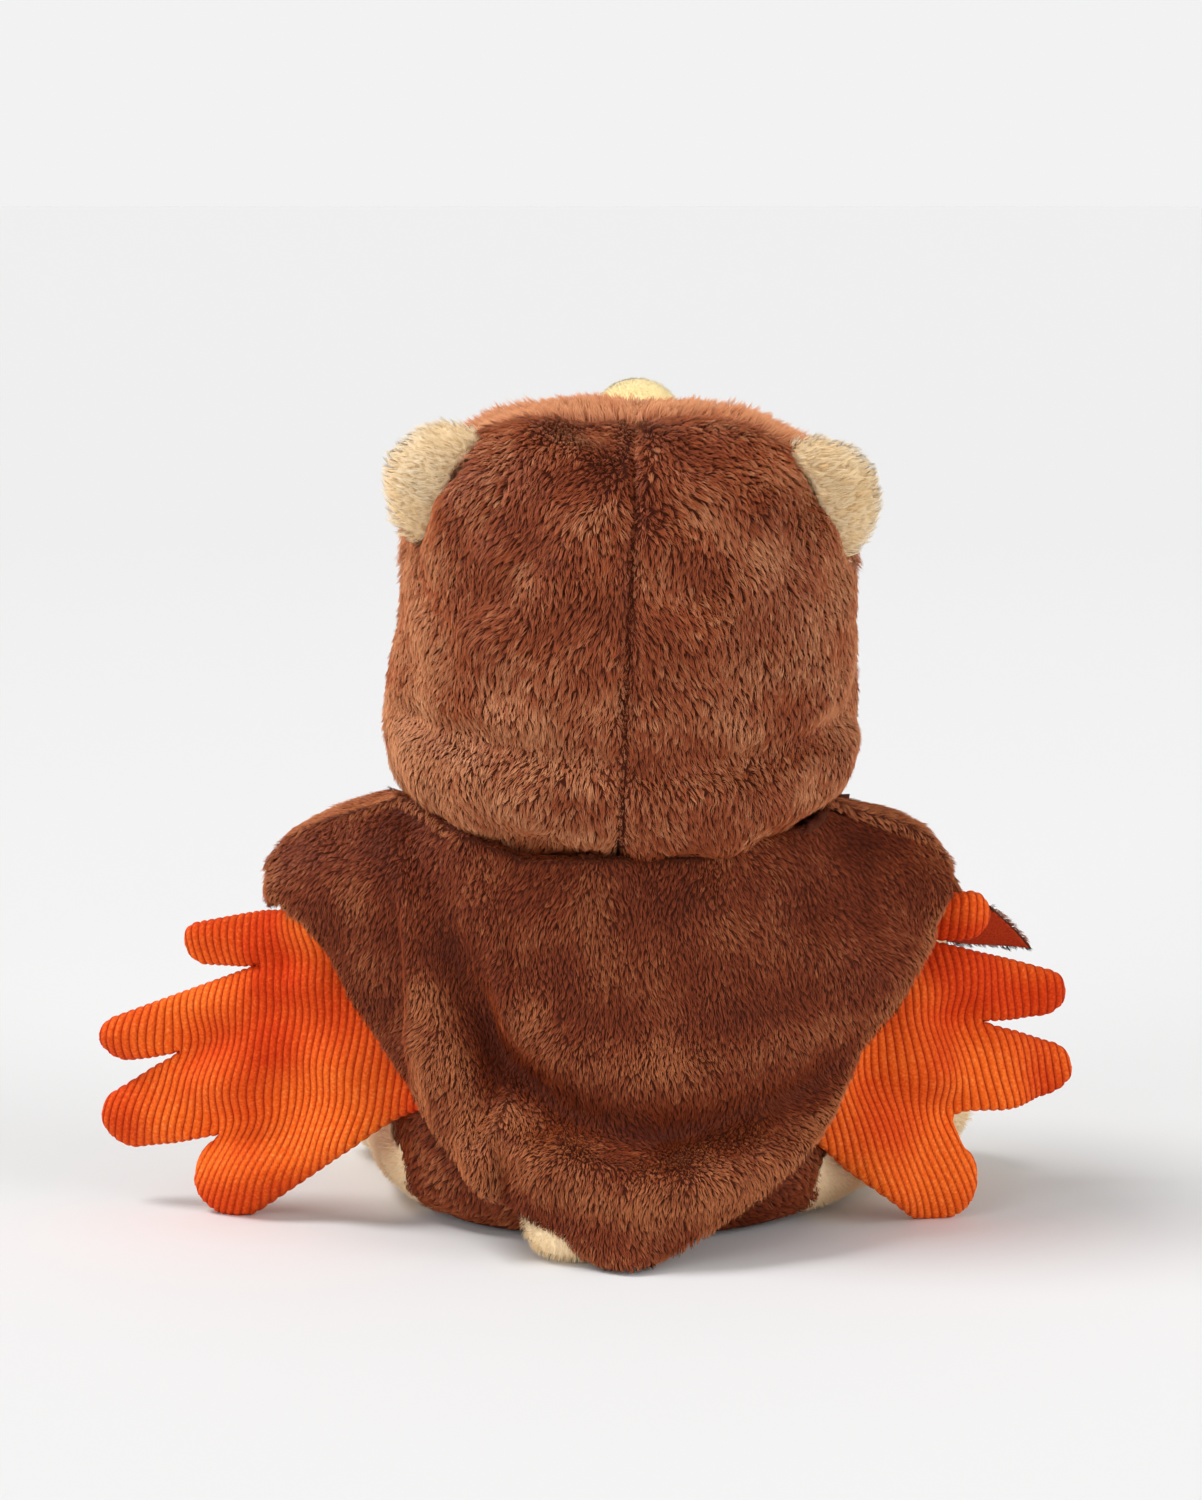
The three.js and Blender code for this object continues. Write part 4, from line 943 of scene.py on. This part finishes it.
def wing(name, side):
    """A padded wing: two faces of corduroy that meet along the edge, ridged, swollen and drawn in."""
    shoulder, feathers, slope = WINGS[name]
    edge = wing_outline(shoulder, feathers)
    tangent = unit(np.roll(edge, -1, 0) - np.roll(edge, 1, 0))
    outward = np.stack([-tangent[:, 1], tangent[:, 0]], 1)
    notches = np.array([notch for _, _, notch in feathers])
    from_notch = np.linalg.norm(edge[:, None] - notches[None], axis=2).min(1)
    puffed = 0.4 + 1.3 * np.clip(from_notch / 14, 0, 1)
    edge = edge + outward * (puffed + 0.5 * (ridge(wale_place(edge, slope)) - 0.5))[:, None]
    spots, near = wing_spots(edge, slope)
    count = len(edge)
    drawn = geometry.delaunay_2d_cdt(
        [Vector(p) for p in np.concatenate([edge, spots])],
        [(i, (i + 1) % count) for i in range(count)], [], 1, 1e-4)
    where = np.array([tuple(v) for v in drawn[0]])
    faces = np.array([f for f in drawn[2] if len(f) == 3])
    source = np.array([o[0] if o else 0 for o in drawn[3]])
    gap = np.concatenate([np.zeros(count), near])[source]
    swell = np.sqrt(1 - (1 - np.clip(gap / 6.5, 0, 1)) ** 2)
    rib = ridge(wale_place(where, slope))
    dent = feather_dents(where, feathers)
    height = swell * np.maximum(PADDING - 0.35 * dent, 1.5) + 0.55 * (rib - 0.6) * np.clip(gap / 1.2, 0, 1)
    bulge = 2.6 * wobble(np.concatenate([where, 0 * where[:, :1]], 1), 27, 400 + side) - dent

    def placed(lift):
        u, z = where.T
        return vectors(side * (WING_ROOT[0] + u * math.cos(WING_SWEEP) + lift * math.sin(WING_SWEEP)),
                       WING_ROOT[1] - u * math.sin(WING_SWEEP) + lift * math.cos(WING_SWEEP), z)

    n = len(where)
    points = np.concatenate([placed(bulge + height), placed(bulge - height)])
    twin = np.where(gap < 1e-9, np.arange(n), np.arange(n) + n)
    other = twin[faces][:, ::-1]
    both = np.concatenate([faces, other]) if side < 0 else np.concatenate([faces[:, ::-1], other[:, ::-1]])
    used, renumbered = np.unique(both, return_inverse=True)
    obj = mesh_object(f"wing_{name}_padded", points[used], renumbered.reshape(both.shape), CORDUROY,
                      f"wing_{name}", rib=np.concatenate([rib, rib])[used])
    finish_piece(obj, "corduroy", f"wing_{name}")


wing("left", 1)
wing("right", -1)

# Cape: the back panel hangs from the neckline to a point, a shoulder and front panel on each side

CAPE_LINE = [(0, 47, 112), (0, 51, 90), (0, 50.8, 62), (0, 54.8, 40), (0, 65.9, 20), (0, 73, CAPE_TIP)]
line = np.array([curve(CAPE_LINE, t) for t in np.linspace(0, 1, 400)])
run = np.concatenate([[0], np.cumsum(np.linalg.norm(np.diff(line, axis=0), axis=1))])
run /= run[-1]


def cape_back(u, v):
    """u across the cape from the bear's right, v down it from the neckline."""
    y, z = np.interp(v, run, line[:, 1]), np.interp(v, run, line[:, 2])
    share = 2 * u - 1
    end = COLLAR_END / CAPE_CORNER
    outside = np.maximum(np.abs(share) - end, 0) / (1 - end)
    drop = SHOULDER_DROP * (1 - v)
    fall = (CORNER_HEIGHT - z + drop) / (CORNER_HEIGHT - CAPE_TIP)
    x = share * np.interp(fall, [0, 0.06, 0.12, 0.21, 0.32, 0.46, 0.62, 0.735, 0.82, 0.92, 0.99, 1],
                          [97.5, 97, 90, 83.5, 76.5, 67, 57, 47, 37.5, 23.5, 10.5, 6])
    lifted = 1 - 0.5 * (1 - v) ** 4
    over = 9 * np.clip(1 - v / 0.14, 0, 1) ** 2 * np.minimum(3 * outside, 1)
    collar = np.interp(np.abs(share), [0.25, 0.41, 0.52, 0.6, 0.68, 0.85, 0.95, 1],
                       [0, 5, 11, 14, 12, 8, 5, 0])
    collar = collar * np.clip(1 - v / 0.3, 0, 1) ** 2 * np.where(share > 0, 1.15, 1)
    return np.stack([x, y - 28 * (1 - 0.75 * v) * share ** 2 - over - 0.4 * collar,
                     z - drop * outside * lifted + collar], -1)


def cape_relief(p):
    """The folds of the hanging cloth: a smile-shaped hollow with a roll of cloth round it."""
    x, z = p[:, 0], p[:, 2]
    valley_x = [-100, -72, -53, -25, -4, 18, 34, 46, 60]
    valley_z = [64, 58, 45, 37, 36, 43, 56, 85, 125]
    slope = (np.interp(x + 3, valley_x, valley_z) - np.interp(x - 3, valley_x, valley_z)) / 6
    off = (z - np.interp(x, valley_x, valley_z)) / np.sqrt(1 + slope ** 2)
    deep = np.interp(x, [-100, -75, -55, -30, 0, 30, 50, 75], [0, 1.5, 4.5, 5.5, 5.5, 7, 7, 3])
    fold = deep * (-0.9 * hump(off, 6) + 1.2 * hump(off + 14, 7.5))
    fold = fold + 0.6 * deep * hump(off - 15, 9)
    return fold * np.interp(z, [60, 85, 108], [1, 0.5, 0.15]) + 0.8 * wobble(p, 38, 31)


# Where each front panel's lower rows begin at the neck and end outside, as on the bear's left
FRONT_ROWS = {
    "left": [((18, -32, 104), (100, -40, 93)), ((4, -47, 82), (104, -48, 66))],
    "right": [((18, -32, 104), (106, -38, 86)), ((4, -47, 82), (121, -45, 70))],
}


def cape_front(u, v, rows):
    """u from the neck outward, v from the shoulder seam to the hem, as on the bear's left."""
    across = (COLLAR_END + (CAPE_CORNER - COLLAR_END) * u) / CAPE_CORNER
    seam = cape_back((1 + across) / 2, 0 * u) + np.outer(np.minimum(5 * u, 1), [0, 1.0, 0.6])
    shoulder = np.stack([44 + 56 * u, 6 - 4 * u, seam[:, 2] - 1.5], 1)
    lines = [seam, shoulder] + [np.array(a) + (np.array(b) - np.array(a)) * u[:, None] for a, b in rows]
    point = curve(lines, v)
    hanging = ramped(u, 0.8, 0.2) ** 2 * math.sin(math.pi * min(1.35 * v, 1)) ** 0.7
    point[:, 2] -= 12 * hanging
    return point


def drawn_in(points):
    """The cape lies a little to the bear's right in its middle, and its corners a little to the left."""
    pulled = points.copy()
    pulled[:, 0] += np.interp(points[:, 2], [15, 40, 84, 97], [0, -2.5, -2, 2.7])
    return pulled


def below_hood(points):
    """Presses cloth down where it would reach into the hood's underside."""
    level = upright(points)
    share = np.hypot(level[:, 0] / HOOD_HALF_WIDTH, level[:, 1] / HOOD_HALF_DEPTH)
    under = NECK - 1 + HOOD_HEIGHT * np.interp(share, [0.5, 0.74, 0.9, 0.96, 0.97], [0, 0.03, 0.095, 0.18, 9])
    level[:, 2] = np.minimum(level[:, 2], under)
    return leaned(level)


def hang(obj):
    """Bakes a cape piece's place into its mesh."""
    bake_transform(obj)


def cape_flow(p):
    """Pile that runs down, and out a little towards the sides."""
    return vectors(0.006 * p[:, 0], 0.15, -1)


def cape_painted_light(p):
    """Painted light and shade: a little darker in the middle, where the pile lies away from the light; pale
    along the edges, painted light where the pile's tips catch it; painted shade in the hollows of the folds
    and painted light on their rolls; and painted shade where the cloth is pinched near the shoulders.
    """
    x, z = np.abs(p[:, 0]), p[:, 2]
    half_width = np.interp(z, [3, 8.5, 19, 28, 39, 54, 68, 80, 90, 97],
                           [10, 23, 37.5, 47, 57, 67, 76.5, 83, 89, 97])
    edge = half_width - x
    pinch_shade = np.exp(-((x - 66) / 10) ** 2 - ((z - 111) / 9) ** 2)
    # painted light along the edges and on the folds' rolls, painted shade in their hollows and at the pinches
    return (-0.04 + 0.4 * np.exp(-np.maximum(edge, 0) / 2.5) + 0.07 * np.clip(cape_relief(p), -6, 5)
            - 0.22 * pinch_shade)


def front_painted_light(p):
    """Painted light: paler on top of the shoulders, where light from above and behind catches the pile's tips.
    """
    return 0.06 + 0.3 * ramped(p[:, 1], -4, 8)


CAPE_ROWS, CAPE_COLUMNS = 130, 190
v, u = np.mgrid[0:1:CAPE_ROWS * 1j, 0:1:CAPE_COLUMNS * 1j]
points = below_hood(drawn_in(cape_back(u, v).reshape(-1, 3)))
points[:, 0] -= 3 * np.clip(v.ravel() - 0.4, 0, 1) ** 2 / 0.36  # its point hangs a little to the bear's right
faces = grid_faces(CAPE_ROWS, CAPE_COLUMNS)
out = normals(points, faces)
surface = (points + out * cape_relief(points)[:, None], faces)
shell = thick(*surface, PLUSH)
cape = mesh_object("cape_back_cloth", *shell, BROWN_CLOTH)
hang(cape)
coat = outer_and_rim(*shell, len(faces), lambda middle: (middle[:, 2] > 99) & (np.abs(middle[:, 0]) > 42))
locks = pile("cape_back_pile", coat, VELVET_PILE, hang, cape_flow, seed=500, per_mm2=4.6, length=2.6,
             width=0.26, lean=66, clump=6, pull=0.6, tone=cape_painted_light, rounded=1.0)
cloth_piece(cape, surface, "brown_plush", (0.2, 0.13), "hung", ["neck", "floor"], locks, "cape_back")
inner = (surface[0] - out * (PLUSH + 1), faces)
aside, down = (share.ravel()[faces].mean(1) for share in (np.abs(2 * u - 1), v))
inner = keep_faces(*inner, (aside < 0.93) & (down < 0.96) & (down > 0.04))
lining = mesh_object("cape_lining_cloth", *thick(*inner, LINING_CLOTH), LINING)
hang(lining)
cloth_piece(lining, inner, "lining", (0.18, 0.12), "hung", ["cape_back"], [], "cape_lining")


def clear_of_arm(points, side):
    """Moves cloth out of the arm under it."""
    start, end = np.array([38.0 * side, -4, 91]), np.array([92.0 * side, -34, 80])
    way = unit(end - start)
    along = np.clip((points - start) @ way, -12, 52)
    off = points - start - along[:, None] * way
    far = np.linalg.norm(off, axis=1)
    reach = np.maximum(far, ARM_ROOM)
    return start + along[:, None] * way + off / far[:, None] * reach[:, None]


FRONT_LINES, FRONT_COLUMNS = 120, 70
EDGE_COLUMN, FLAP_LINE = 50, 40  # the outer edge is turned under from here on, on the right down to there
for number, (name, side) in enumerate((("left", 1), ("right", -1))):
    u = np.linspace(0, 1, FRONT_COLUMNS)
    points = np.concatenate([cape_front(u, t, FRONT_ROWS[name]) for t in np.linspace(0, 1, FRONT_LINES)])
    points = below_hood(clear_of_arm(drawn_in(points * np.array([side, 1, 1])), side))
    faces = grid_faces(FRONT_LINES, FRONT_COLUMNS)
    if side > 0:
        faces = faces[:, ::-1]
    out = normals(points, faces)
    crease_end = np.array([78.0 * side, 14, 102])
    crease = np.array([62.0 * side, 10, 122]) - crease_end
    from_end = points - crease_end
    along = np.clip(from_end @ crease / (crease @ crease), 0, 1)[:, None]
    off = np.linalg.norm(from_end - along * crease, axis=1)
    relief = 0.8 * wobble(points, 34, 35 + number) - 2.0 * hump(off, 6)
    points = points + out * relief[:, None]
    shell = thick(points, faces, PLUSH)
    n = len(faces)
    lined = (n + int(0.35 * n), 2 * n, LINING) if side < 0 else None
    panel = mesh_object(f"cape_{name}_front_cloth", *shell, BROWN_CLOTH, "torso", under=lined)
    turned = shell[1][n:2 * n].reshape(FRONT_LINES - 1, FRONT_COLUMNS - 1, 4)
    turned = turned[:, EDGE_COLUMN:] if side > 0 else turned[:FLAP_LINE, EDGE_COLUMN:]
    coat = (shell[0], np.concatenate([outer_and_rim(*shell, n)[1], turned.reshape(-1, 4)]))
    locks = pile(f"cape_{name}_front_pile", coat, VELVET_PILE, rider("torso"), cape_flow, seed=510 + number,
                 per_mm2=3.6, length=2.6, width=0.27, lean=66, clump=6, pull=0.6, tone=front_painted_light,
                 rounded=1.0)
    cloth_piece(panel, (points, faces), "brown_plush", (0.11, 0.12), "draped", ["arm_" + name], locks,
                f"cape_{name}_front")
tab, _ = small_sheet("neck_tab", "torso", TAPE, "tape", voxel=0.6, rounds=3)


# Studio

def floor_material():
    """A pale sweep: a little whiter round the bear than far off, where it meets the backdrop's grey."""
    made, tree, shader = material("pale_floor", Roughness=0.9, Specular_IOR_Level=0.1)
    where = add(tree, "ShaderNodeTexCoord").outputs["Object"]
    far = add(tree, "ShaderNodeVectorMath", {"Vector": where}, operation="LENGTH").outputs["Value"]
    share = add(tree, "ShaderNodeMath", {0: far}, operation="MULTIPLY")
    share.inputs[1].default_value = 0.5
    greys = add(tree, "ShaderNodeValToRGB", {"Fac": share.outputs[0]},
                [(0.0, "#e6e6e6"), (0.25, "#e0e0e0"), (1.0, "#dbdbdb")])
    tree.links.new(greys.outputs["Color"], shader.inputs["Base Color"])
    return made


FLOOR = 12000  # half its side
floor_mesh = mesh_object(
    "floor",
    np.array([[-1, -1, 0], [1, -1, 0], [1, 1, 0], [-1, 1, 0]], dtype=float) * FLOOR,
    np.array([[0, 1, 2, 3]]),
    floor_material(),
)
scene = bpy.context.scene
world = bpy.data.worlds.new("studio")
scene.world = world
world.use_nodes = True
sky = world.node_tree
way_out = add(sky, "ShaderNodeTexCoord").outputs["Generated"]
height = add(sky, "ShaderNodeSeparateXYZ", {"Vector": way_out}).outputs["Z"]
tone = add(sky, "ShaderNodeValToRGB", {"Fac": height},
           [(0.0, "#f1f1f1"), (0.25, "#e6e6e6"), (0.5, "#b6b6b6"), (1.0, "#a2a2a2")]).outputs["Color"]
plain = add(sky, "ShaderNodeRGB").outputs[0]
plain.default_value = linear("#f2f2f2")
path = add(sky, "ShaderNodeLightPath").outputs
seen = path["Is Camera Ray"]
for ray in ("Is Glossy Ray", "Is Transmission Ray"):
    seen = add(sky, "ShaderNodeMath", {0: seen, 1: path[ray]}, operation="MAXIMUM").outputs[0]
backdrop = add(sky, "ShaderNodeMix", {FACTOR: seen, FIRST: tone, SECOND: plain}, data_type="RGBA")
sky.links.new(backdrop.outputs[MIXED], sky.nodes["Background"].inputs["Color"])
sky.nodes["Background"].inputs["Strength"].default_value = 1.0


def lamp(name, energy, angle, place):
    """A broad far lamp that shines from place towards the bear."""
    made = bpy.data.objects.new(name, bpy.data.lights.new(name, "SUN"))
    made.data.energy = energy
    made.data.angle = math.radians(angle)
    made.rotation_euler = Vector(place).to_track_quat("Z", "Y").to_euler()
    scene.collection.objects.link(made)


lamp("key", energy=1.9, angle=24, place=(0.6, 0.05, 1.0))
lamp("fill_left", energy=0.75, angle=40, place=(0.85, 0.9, 0.5))
lamp("fill_right", energy=1.0, angle=40, place=(-1.0, 0.5, 0.5))
PHOTO_HEIGHT, FOCAL_LENGTH = 1500, 4355  # in pixels of the photograph
SENSOR = 36
cam = bpy.data.objects.new("camera", bpy.data.cameras.new("camera"))
cam.data.sensor_fit = "AUTO"
cam.data.sensor_width = SENSOR
cam.data.lens = SENSOR * FOCAL_LENGTH / PHOTO_HEIGHT
cam.location = (0.005, 1.236, 0.32)
cam.rotation_euler = (math.radians(81.5), 0, math.pi)
scene.collection.objects.link(cam)
scene.camera = cam
scene.view_settings.view_transform = "Standard"
